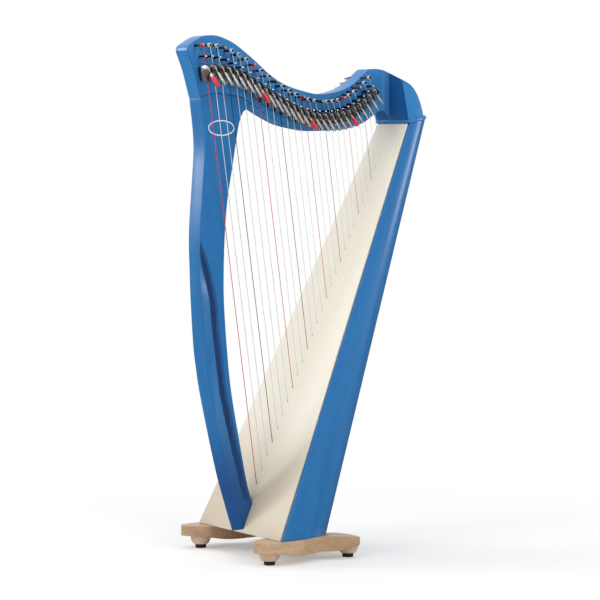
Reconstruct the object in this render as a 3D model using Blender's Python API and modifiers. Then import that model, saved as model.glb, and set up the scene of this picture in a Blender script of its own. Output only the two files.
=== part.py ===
"""Lever harp, 27 strings, about one metre tall, standing on a pair of rails.

Frame: metres, floor at z = 0, +Z up. -X is the column side, +X the player's side.
-Y is the near side, which carries the tuning pins, the bridge pins and the levers.
Sizes below are in millimetres and become metres where a shape is made.
"""
import math

import bmesh
import bpy
from mathutils import Matrix, Vector

MM = 0.001
GAP = 0.3                      # air left between two pieces that touch
CENTRING = 3.2                 # shift along X that brings the footprint's middle to the origin

# Strings
STRINGS = 27
FOOT_FIRST = (-112.5, 136.5)   # X and Z of the first string's foot on the soundboard
FOOT_PITCH = 29.28             # along the soundboard, at the bass end
FOOT_CLOSING = 0.10            # how much each pitch closes up, string by string
STRING_LEAN = 9.8              # degrees toward the column, going up
STRING_SWEEP = 3.05            # degrees toward the near side, going up
STRING_R_BASS = 0.70
STRING_R_TREBLE = 0.33

# Soundboard
BOARD_LEAN = 24.66             # degrees from upright
BOARD_FOOT = (-154.1, 46.0)    # X and Z of the front face at its lower edge
BOARD_TOP_Z = 835.5
BOARD_HALF_LOW = 146.7
BOARD_HALF_HIGH = 50.1
BOARD_T = 3.2

# Soundbox shell
SHELL_Z = (44.0, 840.0)
SHELL_DEPTH = (160.0, 57.0)
SHELL_T = 4.0
ROUNDNESS = 2.5                # power of the rounded back's section
BOX_BOTTOM = 45.3
SOUND_HOLES = ((170, 112, 62), (330, 102, 56), (490, 90, 50), (640, 78, 44))

# Cap plate on top of the soundbox
CAP_FRONT_X = 206.0
CAP_UNDER_Z = 832.5            # underside at the front edge
CAP_RISE = 0.1458              # rise of the plate for each millimetre toward the back
CAP_T = 7.0
CAP_HALF = 58.0
CAP_DEPTH = 72.0

# Plane of the neck and the column, canted in plan
PLANE_X = -202.0
CANT = 5.0
NECK_HALF = 19.0
COLUMN_HALF = 18.0

# Pins
TUNING_R = 2.5
TUNING_OUT = 28.0
TUNING_BACK = 14.0
TUNING_UP = 20.5               # above its bridge pin
TUNING_LEFT = 7.5
TUNING_DRIFT = 3.5             # the row goes further left and lower toward the treble
TUNING_ARCH = 6.5              # rise of the row at its middle
TUNING_ARCH_END = 19           # string where the arch has run out
BRIDGE_R = 2.0
BRIDGE_OUT = 23.5
BRIDGE_IN = 13.0

# Sharping levers; lengths shrink from the bass to the treble
LEVER_SHRINK = 0.20
PIVOT_ABOVE_STRING = 6.4
PIVOT_R = 1.15
PIVOT_HOLE_R = 1.45
LEVER_LENGTH = 45.0
HUB_R = 4.3
LOBE_R = 5.1
LEVER_HALF_WIDTH = 3.2
CHEEK_OUTER = 6.4
CHEEK_INNER = 4.9
SPACER_T = 11.0
REST_ANGLE = 54.0              # handle below straight out

# Base
RAIL_TOP = 45.0
BALL_R = 19.5
BALL_Z = 14.0
PAD_T = 6.0
PAD_R = 11.0
FEET_X = (-163.0, 15.5)
FEET_Y = 125.6

tan_lean = math.tan(math.radians(BOARD_LEAN))
cos_lean = math.cos(math.radians(BOARD_LEAN))
sin_lean = math.sin(math.radians(BOARD_LEAN))
cos_cant = math.cos(math.radians(CANT))
sin_cant = math.sin(math.radians(CANT))


# Scene housekeeping

for old in list(bpy.data.objects):
    bpy.data.objects.remove(old, do_unlink=True)

parts = bpy.data.collections.new("lever_harp")
cutters = bpy.data.collections.new("cutters")
bpy.context.scene.collection.children.link(parts)
bpy.context.scene.collection.children.link(cutters)


def material(name, colour, roughness, metallic=0.0):
    mat = bpy.data.materials.new(name)
    mat.use_nodes = True
    shader = mat.node_tree.nodes["Principled BSDF"]
    shader.inputs["Base Color"].default_value = (*colour, 1.0)
    shader.inputs["Roughness"].default_value = roughness
    shader.inputs["Metallic"].default_value = metallic
    mat.diffuse_color = (*colour, 1.0)
    return mat


def add(name, mesh, mat, matrix=None):
    """A finished piece of the harp."""
    mesh.name = name
    obj = bpy.data.objects.new(name, mesh)
    if matrix is not None:
        obj.matrix_world = matrix
    mesh.materials.clear()
    mesh.materials.append(mat)
    parts.objects.link(obj)
    return obj


def cutter(name, mesh, matrix=None):
    """A helper body that only trims or completes a piece."""
    mesh.name = name
    obj = bpy.data.objects.new(name, mesh)
    if matrix is not None:
        obj.matrix_world = matrix
    obj.hide_render = True
    obj.display_type = "WIRE"
    cutters.objects.link(obj)
    return obj


def combine(obj, other, how):
    mod = obj.modifiers.new(how.lower() + "_" + other.name, "BOOLEAN")
    mod.operation = how
    mod.solver = "EXACT"
    mod.object = other
    return mod


def soften(obj, angle=35):
    for face in obj.data.polygons:
        face.use_smooth = True
    obj.data.set_sharp_from_angle(angle=math.radians(angle))


def settled(obj):
    """The mesh of an object with its modifiers and its placing taken in."""
    bpy.context.view_layer.update()
    seen = obj.evaluated_get(bpy.context.evaluated_depsgraph_get())
    mesh = bpy.data.meshes.new_from_object(seen)
    mesh.transform(obj.matrix_world)
    return mesh


# Outlines

def curve_through(points, steps=3):
    """Points of a smooth line through the given ones, ends included."""
    pts = [Vector(p) for p in points]
    run = [pts[0] * 2 - pts[1]] + pts + [pts[-1] * 2 - pts[-2]]
    line = []
    for i in range(1, len(run) - 2):
        a, b, c, d = run[i - 1:i + 3]
        for k in range(steps):
            t = k / steps
            line.append(0.5 * (2 * b + (c - a) * t + (2 * a - 5 * b + 4 * c - d) * t * t
                               + (3 * b - a - 3 * c + d) * t * t * t))
    line.append(pts[-1])
    return [tuple(p) for p in line]


def arc(centre, radius, start, end, steps):
    return [(centre[0] + radius * math.cos(math.radians(start + (end - start) * k / steps)),
             centre[1] + radius * math.sin(math.radians(start + (end - start) * k / steps)))
            for k in range(steps + 1)]


def slab(outlines, half, lift=0.0):
    """A flat outline, with any holes, given a thickness both ways from its plane."""
    curve = bpy.data.curves.new("outline", "CURVE")
    curve.dimensions = "2D"
    curve.fill_mode = "BOTH"
    curve.extrude = half * MM
    for outline in outlines:
        line = curve.splines.new("POLY")
        line.points.add(len(outline) - 1)
        for point, (x, y) in zip(line.points, outline):
            point.co = (x * MM, y * MM, 0.0, 1.0)
        line.use_cyclic_u = True
    obj = bpy.data.objects.new("outline", curve)
    bpy.context.scene.collection.objects.link(obj)
    bpy.context.view_layer.update()
    seen = obj.evaluated_get(bpy.context.evaluated_depsgraph_get())
    mesh = bpy.data.meshes.new_from_object(seen)
    bpy.data.objects.remove(obj, do_unlink=True)
    mesh.transform(Matrix.Translation((0, 0, lift * MM)))
    return welded(mesh)


def welded(mesh):
    bm = bmesh.new()
    bm.from_mesh(mesh)
    bmesh.ops.remove_doubles(bm, verts=bm.verts, dist=1e-6)
    bmesh.ops.recalc_face_normals(bm, faces=bm.faces)
    bm.to_mesh(mesh)
    bm.free()
    return mesh


def cord(points, radius, sides=6):
    """A round cord through a few points, closed at both ends."""
    curve = bpy.data.curves.new("cord", "CURVE")
    curve.dimensions = "3D"
    curve.bevel_depth = radius * MM
    curve.bevel_resolution = (sides - 4) // 2
    curve.use_fill_caps = True
    line = curve.splines.new("POLY")
    line.points.add(len(points) - 1)
    for point, co in zip(line.points, points):
        point.co = (co[0] * MM, co[1] * MM, co[2] * MM, 1.0)
    obj = bpy.data.objects.new("cord", curve)
    bpy.context.scene.collection.objects.link(obj)
    bpy.context.view_layer.update()
    seen = obj.evaluated_get(bpy.context.evaluated_depsgraph_get())
    mesh = bpy.data.meshes.new_from_object(seen)
    bpy.data.objects.remove(obj, do_unlink=True)
    return welded(mesh)


def rod(radius, low, high, sides, tip=None):
    """A round bar along its own Z; tip is the upper radius if it tapers."""
    bm = bmesh.new()
    bmesh.ops.create_cone(bm, cap_ends=True, cap_tris=False, segments=sides, radius1=radius * MM,
                          radius2=(radius if tip is None else tip) * MM, depth=(high - low) * MM)
    bmesh.ops.translate(bm, verts=bm.verts, vec=(0, 0, (high + low) / 2 * MM))
    return finish(bm)


def brick(low, high):
    bm = bmesh.new()
    bmesh.ops.create_cube(bm, size=1.0)
    size = [(b - a) * MM for a, b in zip(low, high)]
    middle = [(a + b) / 2 * MM for a, b in zip(low, high)]
    bmesh.ops.scale(bm, verts=bm.verts, vec=size)
    bmesh.ops.translate(bm, verts=bm.verts, vec=middle)
    return finish(bm)


def finish(bm):
    mesh = bpy.data.meshes.new("shape")
    bm.to_mesh(mesh)
    bm.free()
    return mesh


def gather(items):
    """One mesh out of many (mesh, matrix) pairs, each kept a solid of its own."""
    bm = bmesh.new()
    for mesh, matrix in items:
        moved = mesh.copy()
        moved.transform(matrix)
        bm.from_mesh(moved)
        bpy.data.meshes.remove(moved)
    return finish(bm)


def loft(rings, closed_ring=True):
    """A body between rings of equally many points, its two ends filled."""
    bm = bmesh.new()
    rows = [[bm.verts.new([c * MM for c in p]) for p in ring] for ring in rings]
    count = len(rows[0])
    for lower, upper in zip(rows, rows[1:]):
        for i in range(count if closed_ring else count - 1):
            j = (i + 1) % count
            bm.faces.new((lower[i], lower[j], upper[j], upper[i]))
    if closed_ring:
        bm.faces.new(rows[0])
        bm.faces.new(rows[-1])
        bmesh.ops.recalc_face_normals(bm, faces=bm.faces)
    return finish(bm)


# Frames of reference

def frame(x_axis, y_axis, z_axis, origin):
    rows = Matrix((x_axis, y_axis, z_axis)).transposed().to_4x4()
    rows.translation = Vector(origin) * MM
    return rows


# Board frame: x along the board upward, y across, z out of the front face
along = Vector((sin_lean, 0, cos_lean))
front = Vector((-cos_lean, 0, sin_lean))
BOARD = frame(along, front.cross(along), front, (BOARD_FOOT[0], 0, BOARD_FOOT[1]))

# Neck frame: x toward the player, y up, z out of the near face
u_axis = Vector((cos_cant, sin_cant, 0))
near = Vector((sin_cant, -cos_cant, 0))
NECK = frame(u_axis, Vector((0, 0, 1)), near, (PLANE_X, 0, 0))


def to_world(u, z, out):
    return Vector((PLANE_X, 0, z)) + u_axis * u + near * out


def to_neck(point):
    away = Vector(point) - Vector((PLANE_X, 0, 0))
    return away.dot(u_axis), point[2], away.dot(near)


def board_x(z):
    return BOARD_FOOT[0] + (z - BOARD_FOOT[1]) * tan_lean


def half_width(z):
    t = (z - BOARD_FOOT[1]) / (BOARD_TOP_Z - BOARD_FOOT[1])
    return BOARD_HALF_LOW + (BOARD_HALF_HIGH - BOARD_HALF_LOW) * t


def depth(z):
    t = (z - SHELL_Z[0]) / (SHELL_Z[1] - SHELL_Z[0])
    return SHELL_DEPTH[0] + (SHELL_DEPTH[1] - SHELL_DEPTH[0]) * t


BOARD_LENGTH = (BOARD_TOP_Z - BOARD_FOOT[1]) / cos_lean

# Materials
blue = material("blue_lacquered_wood", (0.022, 0.14, 0.40), 0.30)
blue_dark = material("blue_lacquered_column", (0.020, 0.13, 0.38), 0.30)
blue_cap = material("blue_lacquered_cap", (0.020, 0.13, 0.38), 0.30)
blue_shell = material("blue_lacquered_shell", (0.018, 0.12, 0.36), 0.32)
cream = material("cream_spruce", (0.80, 0.66, 0.43), 0.45)
beech = material("pale_beech", (0.72, 0.50, 0.28), 0.42)
inner_wood = material("inner_wood", (0.55, 0.38, 0.21), 0.60)
nickel = material("nickel", (0.72, 0.71, 0.68), 0.22, 1.0)
red = material("red_lever", (0.62, 0.03, 0.03), 0.35)
rubber = material("black_rubber", (0.02, 0.02, 0.02), 0.80)
screw_steel = material("screw_steel", (0.50, 0.50, 0.50), 0.35, 1.0)
nylon = material("string_nylon", (0.82, 0.82, 0.78), 0.30)


# Where the strings run

lean_x = -math.tan(math.radians(STRING_LEAN))
lean_y = -math.tan(math.radians(STRING_SWEEP))

# Line of the bridge pins on the neck's near face (u, z)
bridge_line = curve_through([(-75, 953), (-55, 955), (-22, 954), (12, 944), (46, 928), (83, 906),
                             (118, 886), (150, 871), (181, 860), (213, 855), (243, 855),
                             (271, 859), (298, 867), (326, 883), (351, 903), (372, 922)], 4)


def bridge_height(u):
    for (u0, z0), (u1, z1) in zip(bridge_line, bridge_line[1:]):
        if u0 <= u <= u1:
            return z0 + (z1 - z0) * (u - u0) / (u1 - u0)
    return bridge_line[-1][1]


def string_foot(i):
    run = FOOT_PITCH * i - FOOT_CLOSING * i * i
    return Vector((FOOT_FIRST[0] + run * sin_lean, 0, FOOT_FIRST[1] + run * cos_lean))


def string_point(i, z):
    foot = string_foot(i)
    return foot + Vector((lean_x, lean_y, 1)) * (z - foot.z)


def string_radius(i):
    return STRING_R_BASS + (STRING_R_TREBLE - STRING_R_BASS) * i / (STRINGS - 1)


def bridge_point(i):
    """Where the string crosses the line of the bridge pins, in the neck frame."""
    z = 900.0
    for _ in range(30):
        z = 0.5 * (z + bridge_height(to_neck(string_point(i, z))[0]))
    return to_neck(string_point(i, z))


def bridge_pin_centre(i):
    u, z, _ = bridge_point(i)
    return u + BRIDGE_R + string_radius(i) + 0.1, z


def tuning_pin_centre(i):
    u, z, _ = bridge_point(i)
    drift = TUNING_DRIFT * i / (STRINGS - 1)
    arch = TUNING_ARCH * max(math.sin(math.pi * min(i / TUNING_ARCH_END, 1.0)), 0.0) ** 1.5
    return u - TUNING_LEFT - drift, z + TUNING_UP - drift + arch


# Soundboard, its rib and what stands behind it

def cap_under(x):
    return CAP_UNDER_Z + (x - CAP_FRONT_X) * CAP_RISE


def box_trim(name, front_depth, low, below_cap):
    """Wedge that keeps what lies behind the board, over a floor and under the cap."""
    shift = front_depth / cos_lean
    x_low = board_x(low) + shift
    x_high = board_x(cap_under(CAP_FRONT_X) - below_cap) + shift
    reach = 500
    profile = [(x_low, low), (reach, low), (reach, cap_under(reach) - below_cap),
               (x_high, cap_under(x_high) - below_cap)]
    ring_a = [(x, -300, z) for x, z in profile]
    ring_b = [(x, 300, z) for x, z in profile]
    return cutter(name, loft([ring_a, ring_b]))


holes = []
for i in range(STRINGS):
    hole = rod(string_radius(i) + 1.2, -12, 4, 6)
    holes.append((hole, frame(along, front.cross(along), front, string_foot(i))))
string_holes = cutter("string_holes", gather(holes))

s0, s1 = -6.0, BOARD_LENGTH + 12.0


def board_half(s):
    return BOARD_HALF_LOW + (BOARD_HALF_HIGH - BOARD_HALF_LOW) * s / BOARD_LENGTH


outline = [(s0, -board_half(s0)), (s1, -board_half(s1)), (s1, board_half(s1)), (s0, board_half(s0))]
soundboard = add("soundboard", slab([outline], BOARD_T / 2, -BOARD_T / 2), cream, BOARD)
combine(soundboard, box_trim("board_ends", -20, BOX_BOTTOM, GAP), "INTERSECT")
combine(soundboard, string_holes, "DIFFERENCE")

RIB_T = 5.0
rib_low, rib_high = 80.0, 812.0
rib_back = -(BOARD_T + GAP + RIB_T / 2)
outline = [(rib_low, -20), (rib_high, -9), (rib_high, 9), (rib_low, 20)]
string_rib = add("string_rib", slab([outline], RIB_T / 2, rib_back), inner_wood, BOARD)
combine(string_rib, string_holes, "DIFFERENCE")
BEHIND_RIB = BOARD_T + GAP + RIB_T

LINING = 12.0


def lining(name, side):
    """A bar glued inside the corner of board and shell."""
    inset = SHELL_T + 2.2
    low, high = 19.0, 815.0
    outline = [(low, side * (board_half(low) - inset)), (high, side * (board_half(high) - inset)),
               (high, side * (board_half(high) - inset - LINING)),
               (low, side * (board_half(low) - inset - LINING))]
    back = -(BOARD_T + GAP + LINING / 2)
    return add(name, slab([outline], LINING / 2, back), inner_wood, BOARD)


lining("lining_near", -1)
lining("lining_far", 1)


# Soundbox shell

def section(z, inset, steps=18, lead=6.0):
    """Horizontal section of the rounded back, drawn from the near edge to the far edge."""
    w, d, x0 = half_width(z), depth(z), board_x(z)
    ring = []
    for k in range(-steps, steps + 1):
        a = math.radians(90.0 * k / steps)
        s, c = math.sin(a), max(math.cos(a), 0.0)
        x = d * c ** (2 / ROUNDNESS)
        y = w * math.copysign(abs(s) ** (2 / ROUNDNESS), s)
        nx = (abs(x) / d) ** (ROUNDNESS - 1) / d
        ny = math.copysign((abs(y) / w) ** (ROUNDNESS - 1) / w, y)
        size = math.hypot(nx, ny)
        ring.append((x0 + x - inset * nx / size, y - inset * ny / size, z))
    ends = ((x0 - lead, ring[0][1], z), (x0 - lead, ring[-1][1], z))
    return [ends[0]] + ring + [ends[1]]


def add_wall(name, levels, inset, thickness, mat, steps=18):
    """Part of the rounded back as an open sheet, thickened inward."""
    mesh = loft([section(z, inset, steps) for z in levels], closed_ring=False)
    obj = add(name, mesh, mat)
    mod = obj.modifiers.new("wall", "SOLIDIFY")
    mod.thickness = thickness * MM
    mod.offset = -1.0
    mod.use_even_offset = True
    return obj


shell = add_wall("soundbox_shell", [20, 250, 450, 650, 880], 0.0, SHELL_T, blue_shell)
combine(shell, box_trim("shell_ends", BOARD_T + GAP, BOX_BOTTOM, GAP), "INTERSECT")

# Sound holes: rounded-end openings square to the sloping back
back_slope = tan_lean + (SHELL_DEPTH[1] - SHELL_DEPTH[0]) / (SHELL_Z[1] - SHELL_Z[0])
back_lean = math.atan(back_slope)
up_back = Vector((math.sin(back_lean), 0, math.cos(back_lean)))
out_back = Vector((math.cos(back_lean), 0, -math.sin(back_lean)))
hole_shapes = []
for z, height, width in SOUND_HOLES:
    straight = (height - width) / 2
    outline = (arc((straight, 0), width / 2, -90, 90, 10)
               + arc((-straight, 0), width / 2, 90, 270, 10))
    centre = (board_x(z) + depth(z), 0, z)
    hole_shapes.append((slab([outline], 25.0), frame(up_back, out_back.cross(up_back), out_back, centre)))
combine(shell, cutter("sound_holes", gather(hole_shapes)), "DIFFERENCE")

# Frames bent to the inside of the shell
INSIDE = SHELL_T + 0.6
frame_trim = box_trim("frame_ends", BOARD_T + GAP + LINING + 6, BOX_BOTTOM, GAP)
for name, z in (("brace_lower", 250), ("brace_middle", 412), ("brace_upper", 568)):
    brace = add_wall(name, [z - 6, z + 6], INSIDE, 8.0, inner_wood, 12)
    combine(brace, frame_trim, "INTERSECT")


def inner_plug(name, low, high, mat, steps=12):
    """Solid that fills the shell's inside between two levels."""
    return add(name, loft([section(z, INSIDE, steps) for z in (low, high)]), mat)


bottom_board = inner_plug("bottom_board", BOX_BOTTOM, BOX_BOTTOM + 10, inner_wood)
combine(bottom_board, box_trim("bottom_front", BOARD_T + GAP, 20, GAP), "INTERSECT")

top_block = inner_plug("top_block", 802, 880, inner_wood)
combine(top_block, box_trim("top_ends", BOARD_T + GAP, 802, GAP), "INTERSECT")

block_floor = BOX_BOTTOM + 10 + GAP
block_top = 108.0
block_front = BOARD_T + GAP


def block_x(z, back):
    return board_x(z) + back / cos_lean


profile = [(block_x(block_floor, block_front), block_floor), (block_x(block_floor, block_front) + 75, block_floor),
           (block_x(block_top, block_front) + 30, block_top), (block_x(block_top, block_front), block_top)]
column_block = add("column_block", loft([[(x, -42, z) for x, z in profile],
                                         [(x, 52, z) for x, z in profile]]), inner_wood)

# Cap plate
cap_lean = math.atan(CAP_RISE)
cap_axis = Vector((math.cos(cap_lean), 0, math.sin(cap_lean)))
cap_up = Vector((-math.sin(cap_lean), 0, math.cos(cap_lean)))
CAP = frame(cap_axis, cap_up.cross(cap_axis), cap_up, (CAP_FRONT_X, 0, CAP_UNDER_Z))
cap_length = CAP_DEPTH / math.cos(cap_lean)
outline = [(0, -CAP_HALF + 2), (2, -CAP_HALF)]
for k in range(1, 24):
    a = math.radians(-90 + 180 * k / 24)
    outline.append((2 + (cap_length - 2) * math.cos(a) ** 0.9, CAP_HALF * math.sin(a)))
outline += [(2, CAP_HALF), (0, CAP_HALF - 2)]
cap_plate = add("cap_plate", slab([outline], CAP_T / 2, CAP_T / 2), blue_cap, CAP)
rounding = cap_plate.modifiers.new("rounded_edge", "BEVEL")
rounding.width = 1.6 * MM
rounding.segments = 2
rounding.limit_method = "ANGLE"
rounding.angle_limit = math.radians(50)

# Neck: a canted plate, swelling into a shoulder over the soundbox
seam = [(-50, 878), (-35, 884), (-8, 887), (21, 884), (45, 880), (73, 867)]
neck_front = curve_through([(-50, 878), (-56, 898), (-66, 930), (-77, 956), (-81, 966)], 2)
neck_top = curve_through([(-81, 966), (-79, 973), (-70, 980), (-47, 992), (-29, 995.5), (-6, 994),
                          (26, 983), (53, 967), (81, 948), (113, 925), (145, 908), (185, 896),
                          (238, 888), (290, 896), (319, 908), (345, 926), (362, 939)], 2)
neck_end = curve_through([(362, 939), (381, 940), (401, 937), (416, 931)], 2)
neck_under = curve_through([(416, 838), (408, 851), (400, 857), (377, 851), (356, 838), (333, 829),
                            (293, 820), (241, 817), (215, 817.5), (182, 822.5), (150, 829),
                            (123, 839.5), (102, 849), (85, 858), (73, 867)], 2)
neck_seam = curve_through(seam[::-1], 2)
outline = neck_front + neck_top[1:] + neck_end[1:] + neck_under + neck_seam[1:-1]
neck = add("neck", slab([outline], NECK_HALF), blue, NECK)

# Shoulder: the near face turns out in a short cove, then flares to the width of the cap plate
COVE_FROM = 385.0
COVE_R = 34.0
COVE_TURN = 40.0
FLARE_NEAR = -56.0             # Y of the flare's edge just above the cap plate
FLARE_FAR = 56.0
FLARE_TAPER = 20 / 73          # how much the near edge draws in for each millimetre of height
BACK_X = 273.0
SHOULDER_LOW = 843.0


def shoulder_ring(z):
    """Plan of the shoulder at one height: cove, flat flare, rounded back, end inside the neck."""
    ring = []
    for k in range(5):
        a = math.radians(COVE_TURN * k / 4)
        ring.append(to_world(COVE_FROM + COVE_R * math.sin(a), z, NECK_HALF + COVE_R * (1 - math.cos(a))))
    edge_near = FLARE_NEAR + (z - SHOULDER_LOW) * FLARE_TAPER
    middle, half = (FLARE_FAR + edge_near) / 2, (FLARE_FAR - edge_near) / 2
    front_x = CAP_FRONT_X + 1
    ring.append((CAP_FRONT_X, edge_near, z))
    for k in range(1, 20):
        a = math.radians(-90 + 180 * k / 20)
        ring.append((front_x + (BACK_X - front_x) * math.cos(a) ** 0.9, middle + half * math.sin(a), z))
    ring.append((CAP_FRONT_X, FLARE_FAR, z))
    return ring + [to_world(COVE_FROM, z, -NECK_HALF + 3), to_world(COVE_FROM - 7, z, NECK_HALF - 8)]


fall_near = [(140, 862), (140, 920), (200, 915), (212, 911), (224, 905), (236, 892), (246, 870),
             (253, 843), (255, 820), (206, 820), (205, 843), (197, 857)]
fall_far = [(140, 862), (140, 938), (203, 934), (213, 931), (238, 914), (256, 887), (266, 862),
            (272, 840), (275, 820), (206, 820), (205, 843), (197, 857)]
RIDGE_NEAR, RIDGE_FAR = -50.0, 14.0


def fall_ring(y):
    """Side view of the falling top, low along the near edge and full height from the neck on."""
    t = min((y - RIDGE_NEAR) / (RIDGE_FAR - RIDGE_NEAR), 1.0)
    return [(a[0] + (b[0] - a[0]) * t, y, a[1] + (b[1] - a[1]) * t) for a, b in zip(fall_near, fall_far)]


shoulder = cutter("shoulder", loft([shoulder_ring(z) for z in (812, 952)]))
fall = cutter("shoulder_fall", loft([fall_ring(y) for y in (-70, -30, RIDGE_FAR, 70)]))
combine(shoulder, fall, "INTERSECT")
combine(neck, shoulder, "UNION")

# Everything of the neck stays above the cap plate
lift = CAP_T / math.cos(cap_lean) + GAP
profile = [(195, cap_under(195) + lift), (420, cap_under(420) + lift), (420, 700), (195, 700)]
combine(neck, cutter("cap_clear", loft([[(x, -90, z) for x, z in profile],
                                        [(x, 90, z) for x, z in profile]])), "DIFFERENCE")

# Pins driven into the neck, joined with it
tuning_set = []
bridge_set = []
for i in range(STRINGS):
    u, z = tuning_pin_centre(i)
    place = NECK @ Matrix.Translation((u * MM, z * MM, 0))
    tuning_set.append((rod(TUNING_R, -NECK_HALF - TUNING_BACK, NECK_HALF + TUNING_OUT, 6), place))
    u, z = bridge_pin_centre(i)
    place = NECK @ Matrix.Translation((u * MM, z * MM, 0))
    bridge_set.append((rod(BRIDGE_R, NECK_HALF - BRIDGE_IN, NECK_HALF + BRIDGE_OUT, 6), place))
combine(neck, cutter("tuning_pins", gather(tuning_set)), "UNION")
combine(neck, cutter("bridge_pins", gather(bridge_set)), "UNION")


def turned(profile, steps):
    """A round piece from its half outline, radius first, drawn from top to bottom."""
    mesh = bpy.data.meshes.new("profile")
    mesh.from_pydata([(r * MM, 0, z * MM) for r, z in profile],
                     [(k, k + 1) for k in range(len(profile) - 1)], [])
    obj = bpy.data.objects.new("profile", mesh)
    bpy.context.scene.collection.objects.link(obj)
    mod = obj.modifiers.new("turn", "SCREW")
    mod.steps = steps
    mod.render_steps = steps
    mod.use_merge_vertices = True
    mod.merge_threshold = 0.00001
    result = settled(obj)
    bpy.data.objects.remove(obj, do_unlink=True)
    return welded(result)


# Bolts from the soundbox up into the shoulder
bolt_shape = turned([(0, 888), (3, 888), (3, 801.7), (6.5, 801.7), (6.5, 796.5), (0, 796.5)], 10)
bolt_holes = []
for name, x, y in (("neck_bolt_near", 228, -20), ("neck_bolt_far", 228, 28)):
    place = Matrix.Translation((x * MM, y * MM, 0))
    add(name, bolt_shape.copy(), screw_steel, place)
    bolt_holes.append((rod(3.0 + GAP, 790, 888 + GAP, 10), place))
neck_bolt_holes = cutter("neck_bolt_holes", gather(bolt_holes))
for piece in (neck, cap_plate, top_block):
    combine(piece, neck_bolt_holes, "DIFFERENCE")

# Column: arched head under the neck, foot on the soundboard
column_front = curve_through([(-50, 876), (-44, 832), (-41, 799), (-41, 767), (-46, 704), (-51, 640),
                              (-52, 594), (-51, 558), (-49, 500), (-43, 412), (-37, 368), (-29, 323),
                              (-10, 243), (12, 160), (28, 111), (56, 30)], 2)
column_inner = curve_through([(73, 866), (60, 859), (53, 855), (46, 844), (38, 819), (24, 744),
                              (13, 685), (7, 625), (4, 560), (4, 495), (10, 411), (20, 323),
                              (38, 231), (57, 143), (71, 97), (88, 30)], 2)
column_seam = [(u, z - GAP * 1.2) for u, z in curve_through(seam, 2)]
outline = column_front[::-1] + column_seam[1:-1] + column_inner
column = add("column", slab([outline], COLUMN_HALF), blue_dark, NECK)
board_back = brick((-60, -200, -120), (1000, 200, GAP))
combine(column, cutter("foot_cut", board_back, BOARD), "DIFFERENCE")

# The scooped front of the column, deepest at the shoulder of the scoop and running out below
scoop_line = curve_through([(-62, 622), (-43, 580), (-28, 534), (-19, 496), (-15, 460), (-8, 406),
                            (4, 324), (14, 281), (30, 215), (44, 160)], 2)
SCOOP = 5.0
scoop_outline = scoop_line + [(-90, 160), (-90, 622)]
SCOOP_END = 225.0
fade = math.atan(SCOOP / (580 - SCOOP_END))
for side, name in ((1, "scoop_near"), (-1, "scoop_far")):
    body = slab([[(u, z - SCOOP_END) for u, z in scoop_outline]], 15.0, side * 15.0)
    tilt = Matrix.Rotation(-side * fade, 4, "X")
    place = NECK @ Matrix.Translation((0, SCOOP_END * MM, side * COLUMN_HALF * MM)) @ tilt
    combine(column, cutter(name, body, place), "DIFFERENCE")

# Bolt from under the soundbox up into the column
aim = Vector((-0.312 * cos_cant, -0.312 * sin_cant, 1)).normalized()
side_axis = Vector((0, 1, 0)).cross(aim).normalized()
bolt_from = to_world(55, 73, 0) - aim * (73 - BOX_BOTTOM - 1.2) / aim.z
COLUMN_BOLT = frame(side_axis, aim.cross(side_axis), aim, bolt_from)
add("column_bolt", turned([(0, 95), (4, 95), (4, 5), (7.5, 5), (7.5, 0), (0, 0)], 12), screw_steel, COLUMN_BOLT)
bolt_bore = cutter("column_bolt_bore", turned([(0, 95 + GAP), (4 + GAP, 95 + GAP), (4 + GAP, 5 + GAP),
                                               (7.5 + GAP, 5 + GAP), (7.5 + GAP, -8), (0, -8)], 12), COLUMN_BOLT)
for piece in (bottom_board, column_block, soundboard, column):
    combine(piece, bolt_bore, "DIFFERENCE")

# Base rails
rail_top_line = [(-215, RAIL_TOP), (-17, RAIL_TOP), (8, 43), (33, 39), (45, 37)]
rail_under = curve_through([(45, 29), (34, 26.5), (10, 22), (-25, 17), (-60, 15.5), (-95, 15),
                            (-127, 17), (-168, 24), (-190, 25), (-215, 26)], 2)
rail_outer = curve_through([(33, 128), (30, 145), (20, 154), (0, 155), (-25, 150), (-47, 135),
                            (-60, 135), (-85, 144), (-110, 153), (-140, 154.5), (-173, 154),
                            (-192, 149), (-202, 132), (-203, 118)], 2)
rail_plan = rail_outer + [(-202, 112), (-194, 101), (-180, 95), (10, 95), (25, 101), (32, 113)]
rail_side = rail_top_line + rail_under
rails = []
for name, side in (("rail_near", -1), ("rail_far", 1)):
    plan = [(x, side * y) for x, y in rail_plan]
    rail = add(name, slab([plan], 25.0, 30.0), beech)
    side_cut = loft([[(x, side * 80, z) for x, z in rail_side], [(x, side * 170, z) for x, z in rail_side]])
    combine(rail, cutter(name + "_side", side_cut), "INTERSECT")
    rails.append(rail)

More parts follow.
